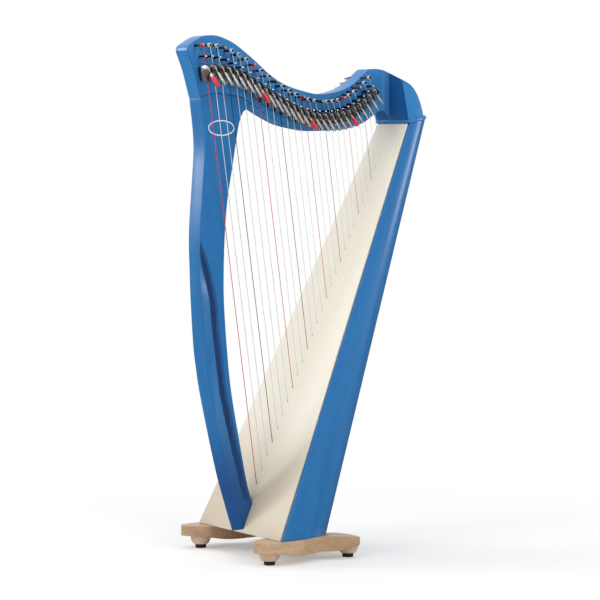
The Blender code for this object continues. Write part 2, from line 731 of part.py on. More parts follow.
# Ball feet with a stud up into the rail, and the pads under them
STUD_TOP = 36.0
ball_profile = [(0, 28.0)]
for k in range(7):
    z = 28.0 + (PAD_T + GAP - 28.0) * k / 6
    ball_profile.append((math.sqrt(BALL_R ** 2 - (z - BALL_Z) ** 2), z))
ball_profile.append((0, PAD_T + GAP))
ball_shape = turned(ball_profile, 16)
rail_room = [(45, 60), (-215, 60)] + [(x, z - GAP) for x, z in rail_under][::-1]
room_cut = cutter("rail_room", loft([[(x, -170, z) for x, z in rail_room],
                                     [(x, 170, z) for x, z in rail_room]]))
stud = rod(2.2, 8, STUD_TOP, 8)
stud_bore = rod(2.2 + GAP, 0, STUD_TOP + GAP, 8)
pad_shape = turned([(0, PAD_T), (PAD_R - 0.8, PAD_T), (PAD_R, PAD_T - 0.8), (PAD_R - 0.4, 0), (0, 0)], 16)
bores = []
for end, x in (("front", FEET_X[0]), ("rear", FEET_X[1])):
    for side, y in (("near", -FEET_Y), ("far", FEET_Y)):
        place = Matrix.Translation((x * MM, y * MM, 0))
        name = "%s_%s" % (end, side)
        ball = add("ball_foot_" + name, ball_shape.copy(), beech, place)
        combine(ball, room_cut, "DIFFERENCE")
        combine(ball, cutter("stud_" + name, stud.copy(), place), "UNION")
        add("rubber_pad_" + name, pad_shape.copy(), rubber, place)
        bores.append((stud_bore, place))
stud_bores = cutter("stud_bores", gather(bores))
for rail in rails:
    combine(rail, stud_bores, "DIFFERENCE")

# Screws from the rails up into the bottom board
rail_screw = turned([(0, 54), (1.3, 53), (2.2, 50), (2.2, 24), (4.5, 22), (4.5, 20), (0, 20)], 8)
rail_bore = turned([(0, 54 + GAP), (2.6, 54 + GAP), (2.6, 24.3), (5.0, 22.2), (5.0, 5), (0, 5)], 8)
bores = []
for end, x in (("front", -130), ("rear", -75)):
    for side, y in (("near", -116), ("far", 116)):
        place = Matrix.Translation((x * MM, y * MM, 0))
        add("rail_screw_%s_%s" % (end, side), rail_screw.copy(), screw_steel, place)
        bores.append((rail_bore, place))
rail_bores = cutter("rail_bores", gather(bores))
for piece in rails + [bottom_board]:
    combine(piece, rail_bores, "DIFFERENCE")


# Strings, from the knot behind the rib to the tuning pin

def string_route(i):
    foot = string_foot(i)
    r = string_radius(i)
    u, z, out = bridge_point(i)
    pin_u, pin_z = tuning_pin_centre(i)
    side = TUNING_R + r + 0.15
    return [foot - front * (BEHIND_RIB + GAP + STRIP_T + 1.0), foot, to_world(u, z, out),
            to_world(pin_u + side, pin_z, out), to_world(pin_u + side - 0.8, pin_z + 2.2, out)]


# The knots behind the rib all bear on one strip, which joins the strings
STRIP_T = 2.0
strip_front = -(BEHIND_RIB + GAP)
outline = [(rib_low + 8, -5), (rib_high - 8, -5), (rib_high - 8, 5), (rib_low + 8, 5)]
strings = add("strings", slab([outline], STRIP_T / 2, strip_front - STRIP_T / 2), nylon, BOARD)
cords = [(cord(string_route(i), string_radius(i)), Matrix.Identity(4)) for i in range(STRINGS)]
combine(strings, cutter("cords", gather(cords)), "UNION")


# Sharping levers

def lever_place(i):
    """Frame at a lever's pivot: x is the hinge axis, y up the string, z out of the neck."""
    z_top = bridge_point(i)[1]
    drop = 10.0 + 14.0 * max(0.0, 1.0 - i / 11.0)
    u, z, out = to_neck(string_point(i, z_top - drop))
    run = Vector((lean_x, lean_y, 1)).normalized()
    up = (run - near * run.dot(near)).normalized()
    hinge = up.cross(near)
    origin = to_world(u, z, out + PIVOT_ABOVE_STRING)
    return frame(hinge, up, near, origin), out + PIVOT_ABOVE_STRING - NECK_HALF


def lever_size(i):
    return 1.0 - LEVER_SHRINK * i / (STRINGS - 1)


def lever_mesh(k):
    # Radius and angle round the hub; angles run from straight out (0) toward up the string (90)
    ring = [(HUB_R, a) for a in (-84, -124, -164, -204)]
    ring += [(LOBE_R, -262), (LOBE_R, -278), (HUB_R, -320), (HUB_R, -366)]
    outline = [(r * math.sin(math.radians(a)), r * math.cos(math.radians(a))) for r, a in ring]

    def along_handle(run, off):
        a = math.radians(-REST_ANGLE)
        return (run * math.sin(a) + off * math.cos(a), run * math.cos(a) - off * math.sin(a))

    tip = LEVER_LENGTH
    upper = [(8, 1.6), (20, 1.6), (22, 2.4), (tip - 3, 2.4), (tip, 0.8)]
    lower = [(tip, -0.8), (tip - 3, -2.4), (22, -2.4), (20, -1.6), (8, -1.6)]
    outline += [along_handle(run, off) for run, off in upper + lower]
    eye = [(PIVOT_HOLE_R * math.sin(math.radians(45 * n)), PIVOT_HOLE_R * math.cos(math.radians(45 * n)))
           for n in range(8)]
    mesh = slab([outline, eye], LEVER_HALF_WIDTH)
    # The outline's plane stands on the hinge axis: its x goes up the string, its y outward
    turn = Matrix(((0, 0, 1, 0), (1, 0, 0, 0), (0, 1, 0, 0), (0, 0, 0, 1)))
    mesh.transform(turn @ Matrix.Scale(k, 4))
    return mesh


def bracket_mesh(pivot_out, k):
    """A channel with two tall cheeks and the hinge pin, standing on its spacer."""
    base = SPACER_T - pivot_out
    side_view = [(-24, base), (7, base), (7, 5), (4, 9.5), (-5, 9.5), (-8.5, 6), (-8.5, -6.5), (-24, -6.5)]
    turn = Matrix(((0, 0, 1, 0), (1, 0, 0, 0), (0, 1, 0, 0), (0, 0, 0, 1)))
    body = cutter("bracket_body", slab([side_view], CHEEK_OUTER))
    floor = base + 1.6
    room = [(-30, 14), (-30, floor), (13, floor), (13, 14)]
    hollow = cutter("bracket_room", slab([room], CHEEK_INNER))
    pin = cutter("bracket_pin", rod(PIVOT_R, -CHEEK_INNER - 0.7, CHEEK_INNER + 0.7, 8))
    # The bracket keeps its height when it is made smaller, so the pin is flattened to end round
    pin.data.transform(Matrix.Diagonal((1, k, 1, 1)))
    spacer = cutter("bracket_spacer", brick((-21, -CHEEK_INNER, -1.0 - pivot_out), (5, CHEEK_INNER, base + 0.8)))
    spacer.data.transform(Matrix(((1, 0, 0, 0), (0, 0, 1, 0), (0, 1, 0, 0), (0, 0, 0, 1))))
    spacer.data.flip_normals()
    combine(body, hollow, "DIFFERENCE")
    combine(body, pin, "UNION")
    combine(body, spacer, "UNION")
    mesh = settled(body)
    for helper in (body, hollow, pin, spacer):
        bpy.data.objects.remove(helper, do_unlink=True)
    mesh.transform(turn)
    return welded(mesh)


brackets = []
for i in range(STRINGS):
    place, pivot_out = lever_place(i)
    k = lever_size(i)
    mat = red if i % 7 == 0 else nickel
    add("lever_%02d" % (i + 1), lever_mesh(k), mat, place)
    brackets.append((bracket_mesh(pivot_out, k), place @ Matrix.Diagonal((k, k, 1, 1))))
combine(neck, cutter("lever_brackets", gather(brackets)), "UNION")

for obj in parts.objects:
    if obj.name not in ("soundboard", "string_rib"):
        soften(obj)

# The middle of the footprint comes to the origin
for obj in list(parts.objects) + list(cutters.objects):
    obj.location.x += CENTRING * MM
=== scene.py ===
# %% [markdown]
# # A lever harp with 27 strings
#
# The harp stands on two rails. A scooped column and an S-curved neck close the frame over a
# tapered soundbox. Every string passes a bridge pin and a sharping lever on its way from the
# soundboard to its tuning pin. The solids of the harp are loaded first, and then each of them
# gets its finish or gives way to a finer piece of the same size. Sizes are in millimetres until a
# shape is finished, because that is how a harp maker's drawing gives them.

# %% Load the solids
import math

import bmesh
import bpy
from mathutils import Matrix, Vector


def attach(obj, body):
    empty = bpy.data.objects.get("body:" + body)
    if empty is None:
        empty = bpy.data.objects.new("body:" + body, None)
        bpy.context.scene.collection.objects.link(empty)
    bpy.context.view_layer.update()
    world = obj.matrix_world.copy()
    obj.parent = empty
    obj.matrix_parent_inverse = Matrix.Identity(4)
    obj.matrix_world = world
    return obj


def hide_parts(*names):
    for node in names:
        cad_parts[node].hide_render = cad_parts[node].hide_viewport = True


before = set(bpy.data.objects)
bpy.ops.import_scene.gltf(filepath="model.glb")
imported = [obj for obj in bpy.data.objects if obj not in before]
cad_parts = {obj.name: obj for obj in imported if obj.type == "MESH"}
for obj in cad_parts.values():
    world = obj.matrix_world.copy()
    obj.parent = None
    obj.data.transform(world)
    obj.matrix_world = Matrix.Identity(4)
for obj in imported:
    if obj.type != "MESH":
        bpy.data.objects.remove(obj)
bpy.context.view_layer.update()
MM = 0.001

# %% [markdown]
# ## Camera
# The camera stands where the photograph was taken: five metres off, to the left of the near side
# and a little above the harp's middle. A long lens keeps the verticals nearly parallel, as a
# product photographer would choose.

# %% Camera
CAMERA_AT = (-2.7258, -4.142, 0.786)
CAMERA_AIM = (-0.0088, 0.0, 0.48842)
LENS_MM = 153.0


def placed(name, data):
    """A new object around its data, in the scene."""
    obj = bpy.data.objects.new(name, data)
    bpy.context.scene.collection.objects.link(obj)
    return obj


def aim(obj, at, target):
    obj.location = at
    obj.rotation_euler = (Vector(target) - Vector(at)).to_track_quat("-Z", "Y").to_euler()


camera_data = bpy.data.cameras.new("camera")
camera_data.lens = LENS_MM
camera_data.sensor_width = 36.0
camera_data.clip_end = 50.0
camera = placed("camera", camera_data)
aim(camera, CAMERA_AT, CAMERA_AIM)
bpy.context.scene.camera = camera
bpy.context.scene.view_settings.view_transform = "Standard"
print("camera", round((Vector(CAMERA_AT) - Vector(CAMERA_AIM)).length, 2), "m away")

# %% [markdown]
# ## Studio world
# A white paper sweep stands behind the harp, and the room on the camera's side is dimmer. One
# image of a studio could give that light, but a few nodes do it too: the direction of a ray picks
# a shade between dim and white. Rays of the camera see plain white all round.

# %% Studio world
WORLD_LIGHT = 0.80
DIM, BRIGHT = 0.40, 1.0
SWEEP_SIDE = Vector((-0.55, 0.65, 0.50)).normalized()


def add(tree, kind, inputs=None, **settings):
    """A new shader node with its settings and the values of its inputs."""
    node = tree.nodes.new("ShaderNode" + kind)
    for name, value in settings.items():
        setattr(node, name, value)
    for key, value in (inputs or {}).items():
        node.inputs[key].default_value = value
    return node


def studio_world():
    world = bpy.data.worlds.new("studio")
    world.use_nodes = True
    bpy.context.scene.world = world
    tree = world.node_tree
    tree.nodes.clear()
    coords, path = add(tree, "TexCoord"), add(tree, "LightPath")
    side = add(tree, "VectorMath", {1: SWEEP_SIDE}, operation="DOT_PRODUCT")
    shade = add(tree, "MapRange", {"From Min": -0.35, "From Max": 0.45, "To Min": DIM, "To Max": BRIGHT},
                interpolation_type="SMOOTHSTEP")
    light = add(tree, "Math", {1: WORLD_LIGHT}, operation="MULTIPLY")
    clear = add(tree, "Math", operation="MAXIMUM")
    soft, mirrored = add(tree, "Background"), add(tree, "Background")
    seen = add(tree, "Background", {"Color": (1.0, 1.0, 1.0, 1.0)})
    for_gloss, for_eye = add(tree, "MixShader"), add(tree, "MixShader")
    out = add(tree, "OutputWorld")
    link = tree.links.new
    link(coords.outputs["Generated"], side.inputs[0])
    link(side.outputs["Value"], shade.inputs["Value"])
    link(shade.outputs["Result"], light.inputs[0])
    link(light.outputs[0], soft.inputs["Strength"])
    link(shade.outputs["Result"], mirrored.inputs["Strength"])
    link(path.outputs["Is Glossy Ray"], for_gloss.inputs[0])
    link(soft.outputs[0], for_gloss.inputs[1])
    link(mirrored.outputs[0], for_gloss.inputs[2])
    link(path.outputs["Is Camera Ray"], clear.inputs[0])
    link(path.outputs["Is Transmission Ray"], clear.inputs[1])
    link(clear.outputs[0], for_eye.inputs[0])
    link(for_gloss.outputs[0], for_eye.inputs[1])
    link(seen.outputs[0], for_eye.inputs[2])
    link(for_eye.outputs[0], out.inputs["Surface"])


studio_world()
print("world: dim", DIM, "bright", BRIGHT)

# %% [markdown]
# ## Soft lamps
# Large soft boxes give the forms their shading: one high over the harp for the shadow under the
# base, one at the back on the left whose reflection lies along the front of the column, one for
# the near faces, and weaker ones for the soundboard and the shell. Large boxes are used because
# small lamps would draw hard shadows of every string.

# %% Soft lamps


def soft_lamp(name, at, target, size, power):
    data = bpy.data.lights.new(name, "AREA")
    data.shape = "SQUARE"
    data.size = size
    data.energy = power
    aim(placed(name, data), at, target)


LAMPS = (("sweep_lamp", (-2.0, 1.9, 1.5), (0.0, 0.0, 0.6), 1.2, 26.0),
         ("near_lamp", (0.4, -3.6, 2.4), (0.0, 0.0, 0.6), 1.8, 60.0),
         ("board_lamp", (-3.0, -0.3, 2.9), (0.0, 0.0, 0.7), 1.5, 20.0),
         ("shell_lamp", (3.2, -0.9, 0.9), (0.1, 0.0, 0.5), 0.9, 16.0),
         ("top_lamp", (0.1, 0.3, 3.2), (0.0, 0.0, 0.4), 2.2, 26.0))
for lamp in LAMPS:
    soft_lamp(*lamp)
print("lamps:", len(LAMPS))

# %% [markdown]
# ## Helpers for materials
# Every finish is procedural. Patterns are stretched Object coordinates, so that grain runs the
# same way through a whole board, and the same few nodes come back in each material.

# %% Helpers for materials


def new_material(name, values):
    """A material with a Principled shader that has the given values."""
    mat = bpy.data.materials.new(name)
    mat.use_nodes = True
    tree = mat.node_tree
    tree.nodes.clear()
    shader = add(tree, "BsdfPrincipled", values)
    tree.links.new(shader.outputs[0], add(tree, "OutputMaterial").inputs["Surface"])
    return mat, tree, shader


def place_coords(tree, stretch=(1, 1, 1), turn=(0, 0, 0)):
    """Object coordinates, turned and then stretched by a size in each direction."""
    vector = add(tree, "TexCoord").outputs["Object"]
    turned = ({"Rotation": [math.radians(a) for a in turn]},) if any(turn) else ()
    for values in (*turned, {"Scale": stretch}):
        mapping = add(tree, "Mapping", values)
        tree.links.new(vector, mapping.inputs["Vector"])
        vector = mapping.outputs["Vector"]
    return vector


def noise(tree, vector, scale, detail):
    node = add(tree, "TexNoise", {"Scale": scale, "Detail": detail, "Roughness": 0.6})
    tree.links.new(vector, node.inputs["Vector"])
    return node.outputs["Fac"]


def ramp(tree, value, stops):
    node = add(tree, "ValToRGB")
    for element, (at, colour) in zip(node.color_ramp.elements, stops):
        element.position = at
        element.color = (*colour, 1.0)
    tree.links.new(value, node.inputs["Fac"])
    return node.outputs["Color"]


def bump(tree, shader, height, strength, distance):
    node = add(tree, "Bump", {"Strength": strength, "Distance": distance})
    tree.links.new(height, node.inputs["Height"])
    tree.links.new(node.outputs["Normal"], shader.inputs["Normal"])


def mixed(tree, factor, first, second):
    """The first colour, which is a socket, mixed with a second, plain one."""
    node = add(tree, "Mix", data_type="RGBA")
    node.inputs["B"].default_value = (*second, 1.0)
    tree.links.new(factor, node.inputs["Factor"])
    tree.links.new(first, node.inputs["A"])
    return node.outputs["Result"]


print("material helpers ready")

# %% [markdown]
# ## Grain, shared by all the woods
# Wood shows long fibres and short dark pores. Both are noises, pulled long by the coordinates they
# get, so one node group serves the blue parts, the spruce and the beech with their own sizes.

# %% Grain group


def make_wood_grain():
    group = bpy.data.node_groups.new("wood_grain", "ShaderNodeTree")
    for name, in_out, kind in (("Vector", "INPUT", "Vector"), ("Fibre Scale", "INPUT", "Float"),
                               ("Pore Scale", "INPUT", "Float"), ("Tone", "OUTPUT", "Float"),
                               ("Pores", "OUTPUT", "Float")):
        group.interface.new_socket(name, in_out=in_out, socket_type="NodeSocket" + kind)
    given, result = group.nodes.new("NodeGroupInput"), group.nodes.new("NodeGroupOutput")
    fibre = add(group, "TexNoise", {"Detail": 4.0, "Roughness": 0.55, "Distortion": 0.25})
    pore = add(group, "TexNoise", {"Detail": 3.0})
    sharpen = add(group, "MapRange", {"From Min": 0.56, "From Max": 0.74})
    link = group.links.new
    for target in (fibre, pore):
        link(given.outputs["Vector"], target.inputs["Vector"])
    link(given.outputs["Fibre Scale"], fibre.inputs["Scale"])
    link(given.outputs["Pore Scale"], pore.inputs["Scale"])
    link(pore.outputs["Fac"], sharpen.inputs["Value"])
    link(fibre.outputs["Fac"], result.inputs["Tone"])
    link(sharpen.outputs["Result"], result.inputs["Pores"])
    return group


WOOD_GRAIN = make_wood_grain()


def grain(tree, vector, fibre, pore):
    node = add(tree, "Group", node_tree=WOOD_GRAIN)
    node.inputs["Fibre Scale"].default_value = fibre
    node.inputs["Pore Scale"].default_value = pore
    tree.links.new(vector, node.inputs["Vector"])
    return node.outputs["Tone"], node.outputs["Pores"]


print("shared group:", WOOD_GRAIN.name)

# %% [markdown]
# ## Woods
# The maple of the frame is stained blue and lacquered satin, which keeps its figure faintly
# visible. A second and a third, darker blue paint shade on the arrises and in the hollow of the
# column, and a ramp up the height paints shade at its foot; the blue of the neck is lighter, as
# painted light against the shade of its pins and levers. The soundboard is very pale spruce,
# darker toward its foot as painted shade, and the base is steamed beech, both with a clear varnish.

# %% Woods


SHADE_FROM, SHADE_FULL = 0.29, 0.12    # heights in metres between which painted shade darkens the wood toward the floor


def finished_wood(name, dark, light, pore_colour, stretch, rough, fibre=9.0, pore=60.0, coat=0.3,
                  turn=(0, 0, 0), foot=None):
    """Wood under a clear coat; stretch pulls the grain long, foot is a darker colour that paints shade low down.
    """
    mat, tree, shader = new_material(name, {"Roughness": rough, "Specular IOR Level": 0.35,
                                            "Coat Weight": coat, "Coat Roughness": 0.16})
    tone, pores = grain(tree, place_coords(tree, stretch, turn), fibre, pore)
    colour = ramp(tree, tone, ((0.30, dark), (0.70, light)))
    colour = mixed(tree, pores, colour, pore_colour)
    # Painted shade: below the given heights the colour turns toward the darker foot colour
    if foot:
        height = add(tree, "SeparateXYZ")
        low = add(tree, "MapRange", {"From Min": SHADE_FROM, "From Max": SHADE_FULL},
                  interpolation_type="SMOOTHSTEP")
        tree.links.new(place_coords(tree), height.inputs[0])
        tree.links.new(height.outputs["Z"], low.inputs["Value"])
        colour = mixed(tree, low.outputs["Result"], colour, foot)
    tree.links.new(colour, shader.inputs["Base Color"])
    bump(tree, shader, tone, 0.05, 0.0004)
    return mat


BLUE_DARK = (0.012, 0.145, 0.395)
BLUE_LIGHT = (0.018, 0.180, 0.460)
BLUE_PORE = (0.010, 0.125, 0.355)
ALONG_Z, ALONG_X = (7.0, 7.0, 0.45), (0.45, 7.0, 7.0)
# The column's blue darkens toward its foot: painted shade
blue_column = finished_wood("blue_stained_column", BLUE_DARK, BLUE_LIGHT, BLUE_PORE, ALONG_Z, 0.34, 7.0,
                            foot=(0.005, 0.078, 0.270))
# The blue of the neck, cap and shoulder is lighter than the column's: painted light that makes up for the shade
# of the pins and levers
blue_neck_painted_lighter = finished_wood("blue_stained_neck_painted_lighter", (0.021, 0.182, 0.47), (0.029, 0.220, 0.54),
                          (0.017, 0.155, 0.42), ALONG_X, 0.34, 7.0)
blue_shell = finished_wood("blue_stained_shell", BLUE_DARK, BLUE_LIGHT, BLUE_PORE, ALONG_Z, 0.36, 5.0,
                           turn=(0.0, -18.0, 0.0))
# The darkest blue is painted shade: it lines the arrises, the seam with the neck and the foot of the scoop's wall
blue_darkest_painted_shade = finished_wood("blue_stained_darkest_painted_shade", (0.003, 0.036, 0.125), (0.005, 0.050, 0.165),
                           (0.003, 0.03, 0.11), ALONG_Z, 0.45, 7.0, coat=0.1)
# A mid-dark blue is painted shade on the upper part of the scoop's wall and on the shoulder's faces that turn to
# the front, and it darkens further near the column's foot
blue_mid_painted_shade = finished_wood("blue_stained_mid_painted_shade", (0.006, 0.085, 0.27), (0.009, 0.105, 0.32),
                            (0.005, 0.07, 0.24), ALONG_Z, 0.42, 7.0, coat=0.15, foot=(0.003, 0.045, 0.18))
# The spruce darkens toward the board's foot: painted shade
spruce = finished_wood("pale_spruce", (0.790, 0.735, 0.615), (0.830, 0.785, 0.670),
                       (0.750, 0.690, 0.565), (16.0, 30.0, 0.5), 0.42, 10.0, 40.0, 0.15,
                       turn=(0.0, -24.66, 0.0), foot=(0.60, 0.525, 0.405))
beech = finished_wood("steamed_beech", (0.45, 0.280, 0.155), (0.60, 0.415, 0.262),
                      (0.36, 0.205, 0.105), (0.8, 7.0, 7.0), 0.36, 8.0, 90.0, 0.25)
ball_beech = finished_wood("turned_beech", (0.62, 0.455, 0.325), (0.71, 0.545, 0.405),
                           (0.52, 0.37, 0.25), (0.8, 7.0, 7.0), 0.36, 8.0, 90.0, 0.25)
inner_wood = finished_wood("bare_inner_wood", (0.42, 0.27, 0.14), (0.56, 0.38, 0.21),
                           (0.34, 0.21, 0.11), ALONG_Z, 0.62, coat=0.0)
WOODS = (blue_column, blue_neck_painted_lighter, blue_shell, blue_darkest_painted_shade, blue_mid_painted_shade, spruce, beech, ball_beech, inner_wood)
print("woods:", ", ".join(wood.name for wood in WOODS))

# %% [markdown]
# ## Metals, plastics and strings
# Levers are nickel plated, and a darker nickel is painted shade on the parts among the bracket
# cheeks. Tuning pins are blued steel with a bright square at the far end, and the C and F pins
# have a bright near end, a painted highlight; the spacers under the levers are black. Strings are
# nylon: natural ones nearly clear, every C red and every F dark, so that the player finds the notes.

# %% Metals, plastics and strings


def mottled(tree, shader, colour, deep, scale, detail, spread):
    """Lets the colour vary with a deeper one, in soft patches, and gives the pattern back."""
    patch = noise(tree, place_coords(tree), scale, detail)
    darker = tuple(c * deep for c in colour)
    stops = ((0.5 - spread, darker), (0.5 + spread, colour))
    tree.links.new(ramp(tree, patch, stops), shader.inputs["Base Color"])
    return patch


def metal(name, colour, rough, wear=0.05):
    """Plated metal with faint rubbed patches."""
    mat, tree, shader = new_material(name, {"Metallic": 1.0})
    patch = mottled(tree, shader, colour, 0.86, 220.0, 3.0, 0.15)
    rubbed = add(tree, "MapRange", {"To Min": rough, "To Max": rough + wear})
    tree.links.new(patch, rubbed.inputs["Value"])
    tree.links.new(rubbed.outputs["Result"], shader.inputs["Roughness"])
    return mat


def moulded(name, colour, rough, grain_height=0.00005, coat=0.0):
    """Moulded or painted surface with a fine orange-peel."""
    mat, tree, shader = new_material(name, {"Roughness": rough, "Coat Weight": coat})
    mottled(tree, shader, colour, 0.88, 40.0, 2.0, 0.1)
    bump(tree, shader, noise(tree, place_coords(tree), 900.0, 2.0), 0.25, grain_height)
    return mat


def nylon(name, colour, clear):
    """Monofilament: glossy, and partly clear when natural."""
    mat, tree, shader = new_material(name, {"Roughness": 0.22, "Transmission Weight": clear, "IOR": 1.45})
    mottled(tree, shader, colour, 0.9, 30.0, 2.0, 0.1)
    return mat


nickel = metal("nickel_plate", (0.80, 0.77, 0.72), 0.24)
# A darker nickel is painted shade for the lever arms, the bracket channels and their screws and rivets
nickel_painted_shade = metal("nickel_darkened_for_painted_shade", (0.30, 0.29, 0.28), 0.38)
bright_metal = metal("bright_pin_end", (0.90, 0.88, 0.84), 0.22)
black_steel = metal("blued_pin_steel", (0.030, 0.031, 0.036), 0.30)
screw_steel = metal("screw_steel", (0.55, 0.54, 0.52), 0.32)
black_plastic = moulded("black_spacer", (0.012, 0.012, 0.014), 0.42)
red_sleeve = moulded("red_sleeve", (0.70, 0.030, 0.028), 0.34, coat=0.4)
rubber = moulded("black_rubber", (0.018, 0.018, 0.018), 0.78, 0.0002)
eyelet = moulded("pale_eyelet", (0.52, 0.48, 0.40), 0.40)
inlay_white = moulded("white_inlay", (0.78, 0.84, 0.90), 0.35)
nylon_red = nylon("red_string", (0.60, 0.035, 0.045), 0.0)
nylon_dark = nylon("dark_string", (0.035, 0.033, 0.045), 0.0)
nylon_clear = nylon("clear_string", (0.88, 0.88, 0.86), 0.25)
print("finishes so far:", len(bpy.data.materials))

# %% [markdown]
# ## Floor
# The floor is white paper that keeps the soft shadow under the harp. Close to the harp it is lit
# as any paper is, and further out it turns into plain white, so no horizon shows.

# %% Floor
FLOOR_GLOW_NEAR = 0.30
FLOOR_PLAIN_FROM, FLOOR_PLAIN_AT = 0.55, 1.05
FLOOR_DARK_FOR_GLOSS = (0.10, 0.10, 0.11, 1.0)    # darker than the paper: painted shade in what the polished faces mirror of the floor


def floor_finish():
    mat, tree, paper = new_material("studio_floor", {"Roughness": 0.8, "Specular IOR Level": 0.2})
    vector = place_coords(tree)
    tint = ramp(tree, noise(tree, vector, 3.0, 2.0), ((0.0, (0.92, 0.92, 0.92)), (1.0, (0.94, 0.94, 0.94))))
    away = add(tree, "VectorMath", operation="LENGTH")
    reach = add(tree, "MapRange", {"From Min": FLOOR_PLAIN_FROM, "From Max": FLOOR_PLAIN_AT,
                                   "To Min": FLOOR_GLOW_NEAR, "To Max": 1.0},
                interpolation_type="SMOOTHSTEP")
    path = add(tree, "LightPath")
    share = add(tree, "Math", operation="MULTIPLY")
    glow = add(tree, "Emission")
    # Glossy rays see the floor in a dark colour: painted shade in the reflections of the polished faces
    painted_dark_for_gloss = add(tree, "BsdfDiffuse", {"Color": FLOOR_DARK_FOR_GLOSS})
    mirrored, blend = add(tree, "MixShader"), add(tree, "MixShader")
    link = tree.links.new
    link(tint, paper.inputs["Base Color"])
    link(vector, away.inputs[0])
    link(away.outputs["Value"], reach.inputs["Value"])
    link(path.outputs["Is Camera Ray"], share.inputs[0])
    link(reach.outputs["Result"], share.inputs[1])
    link(path.outputs["Is Glossy Ray"], mirrored.inputs[0])
    link(paper.outputs[0], mirrored.inputs[1])
    link(painted_dark_for_gloss.outputs[0], mirrored.inputs[2])
    link(share.outputs[0], blend.inputs[0])
    link(mirrored.outputs[0], blend.inputs[1])
    link(glow.outputs[0], blend.inputs[2])
    link(blend.outputs[0], tree.nodes["Material Output"].inputs["Surface"])
    return mat


def make_floor():
    bm = bmesh.new()
    bmesh.ops.create_grid(bm, x_segments=1, y_segments=1, size=20.0)
    mesh = bpy.data.meshes.new("floor")
    bm.to_mesh(mesh)
    bm.free()
    mesh.materials.append(floor_finish())
    placed("floor", mesh)


make_floor()
print("floor plain from", FLOOR_PLAIN_AT, "m")

# %% [markdown]
# ## Frames of the drawing
# Three flat drawings describe the harp: the floor plan and side view, the plane of the soundboard,
# and the plane of the neck, which is canted to the far side so that the strings clear the board's
# middle. Each drawing gets a matrix that places its points, so a piece can be drawn flat.

# %% Frames of the drawing
CENTRING = 3.2
PLANE_X, CANT = -202.0, 5.0
BOARD_LEAN = 24.66
BOARD_FOOT = (-154.1, 46.0)

tan_lean = math.tan(math.radians(BOARD_LEAN))
cos_lean = math.cos(math.radians(BOARD_LEAN))
sin_lean = math.sin(math.radians(BOARD_LEAN))
u_axis = Vector((math.cos(math.radians(CANT)), math.sin(math.radians(CANT)), 0))
near = Vector((math.sin(math.radians(CANT)), -math.cos(math.radians(CANT)), 0))
along = Vector((sin_lean, 0, cos_lean))
front = Vector((-cos_lean, 0, sin_lean))


def placing(x_axis, y_axis, z_axis, at):
    """Matrix that puts a drawing's axes along three directions, at a point."""
    m = Matrix((x_axis, y_axis, z_axis)).transposed().to_4x4()
    m.translation = at
    return m


def basis(x_axis, y_axis, z_axis, origin):
    """Placing matrix for a drawing whose sizes are in millimetres; it ends in metres."""
    return Matrix.Scale(MM, 4) @ placing(x_axis, y_axis, z_axis, Vector(origin) + Vector((CENTRING, 0, 0)))


WORLD = basis((1, 0, 0), (0, 1, 0), (0, 0, 1), (0, 0, 0))
BOARD = basis(along, front.cross(along), front, (BOARD_FOOT[0], 0, BOARD_FOOT[1]))
NECK = basis(u_axis, Vector((0, 0, 1)), near, (PLANE_X, 0, 0))


def to_world(u, z, out):
    return Vector((PLANE_X, 0, z)) + u_axis * u + near * out


def to_neck(point):
    away = Vector(point) - Vector((PLANE_X, 0, 0))
    return away.dot(u_axis), point[2], away.dot(near)


print("soundboard leans", BOARD_LEAN, "degrees, neck is canted", CANT)

# %% [markdown]
# ## Helpers for drawn lines
# A maker draws the harp's curves with a spline through a few marks. The same is done here, and the
# height of such a line at one place is read off for lofted shapes.

# %% Helpers for drawn lines


def curve_through(points, steps=6):
    """Points of a smooth line through the given ones, ends included."""
    pts = [Vector(p) for p in points]
    run = [pts[0] * 2 - pts[1]] + pts + [pts[-1] * 2 - pts[-2]]
    line = []
    for i in range(1, len(run) - 2):
        a, b, c, d = run[i - 1:i + 3]
        for k in range(steps):
            t = k / steps
            line.append(0.5 * (2 * b + (c - a) * t + (2 * a - 5 * b + 4 * c - d) * t * t
                               + (3 * b - a - 3 * c + d) * t * t * t))
    line.append(pts[-1])
    return [tuple(p) for p in line]


def height_on(line, x):
    """Height of a drawn line, whose first numbers rise, at x."""
    for (x0, y0), (x1, y1) in zip(line, line[1:]):
        if x0 <= x <= x1:
            return y0 + (y1 - y0) * (x - x0) / (x1 - x0)
    return line[0][1] if x < line[0][0] else line[-1][1]


def turned_line(line):
    """The line with its two numbers exchanged, rising."""
    flipped = [(b, a) for a, b in line]
    return flipped if flipped[0][0] < flipped[-1][0] else flipped[::-1]


def ease(t):
    t = min(max(t, 0.0), 1.0)
    return t * t * (3.0 - 2.0 * t)


print("spline marks become", len(curve_through([(0, 0), (1, 1), (2, 0)])), "points")

# %% [markdown]
# ## Handing over a finished piece
# Every piece is drawn in millimetres, placed by the matrix of its drawing and kept at the origin of
# the scene, because its finish reads Object coordinates. It is shaded smooth up to an angle, rides
# its body and, where it stands for a solid, replaces it.

# %% Handing over a finished piece


def finish_mesh(name, mesh, mats, body="harp", angle=35.0, cad=()):
    for face in mesh.polygons:
        face.use_smooth = True
    mesh.set_sharp_from_angle(angle=math.radians(angle))
    if len(mesh.materials):
        mesh.materials.clear()
    for mat in mats if isinstance(mats, tuple) else (mats,):
        mesh.materials.append(mat)
    obj = placed(name, mesh)
    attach(obj, body)
    if cad:
        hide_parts(*cad)
    return obj


def shape_mesh(bm, name="shape"):
    """A mesh from a bmesh that has done its work."""
    bmesh.ops.recalc_face_normals(bm, faces=bm.faces)
    mesh = bpy.data.meshes.new(name)
    bm.to_mesh(mesh)
    bm.free()
    return mesh


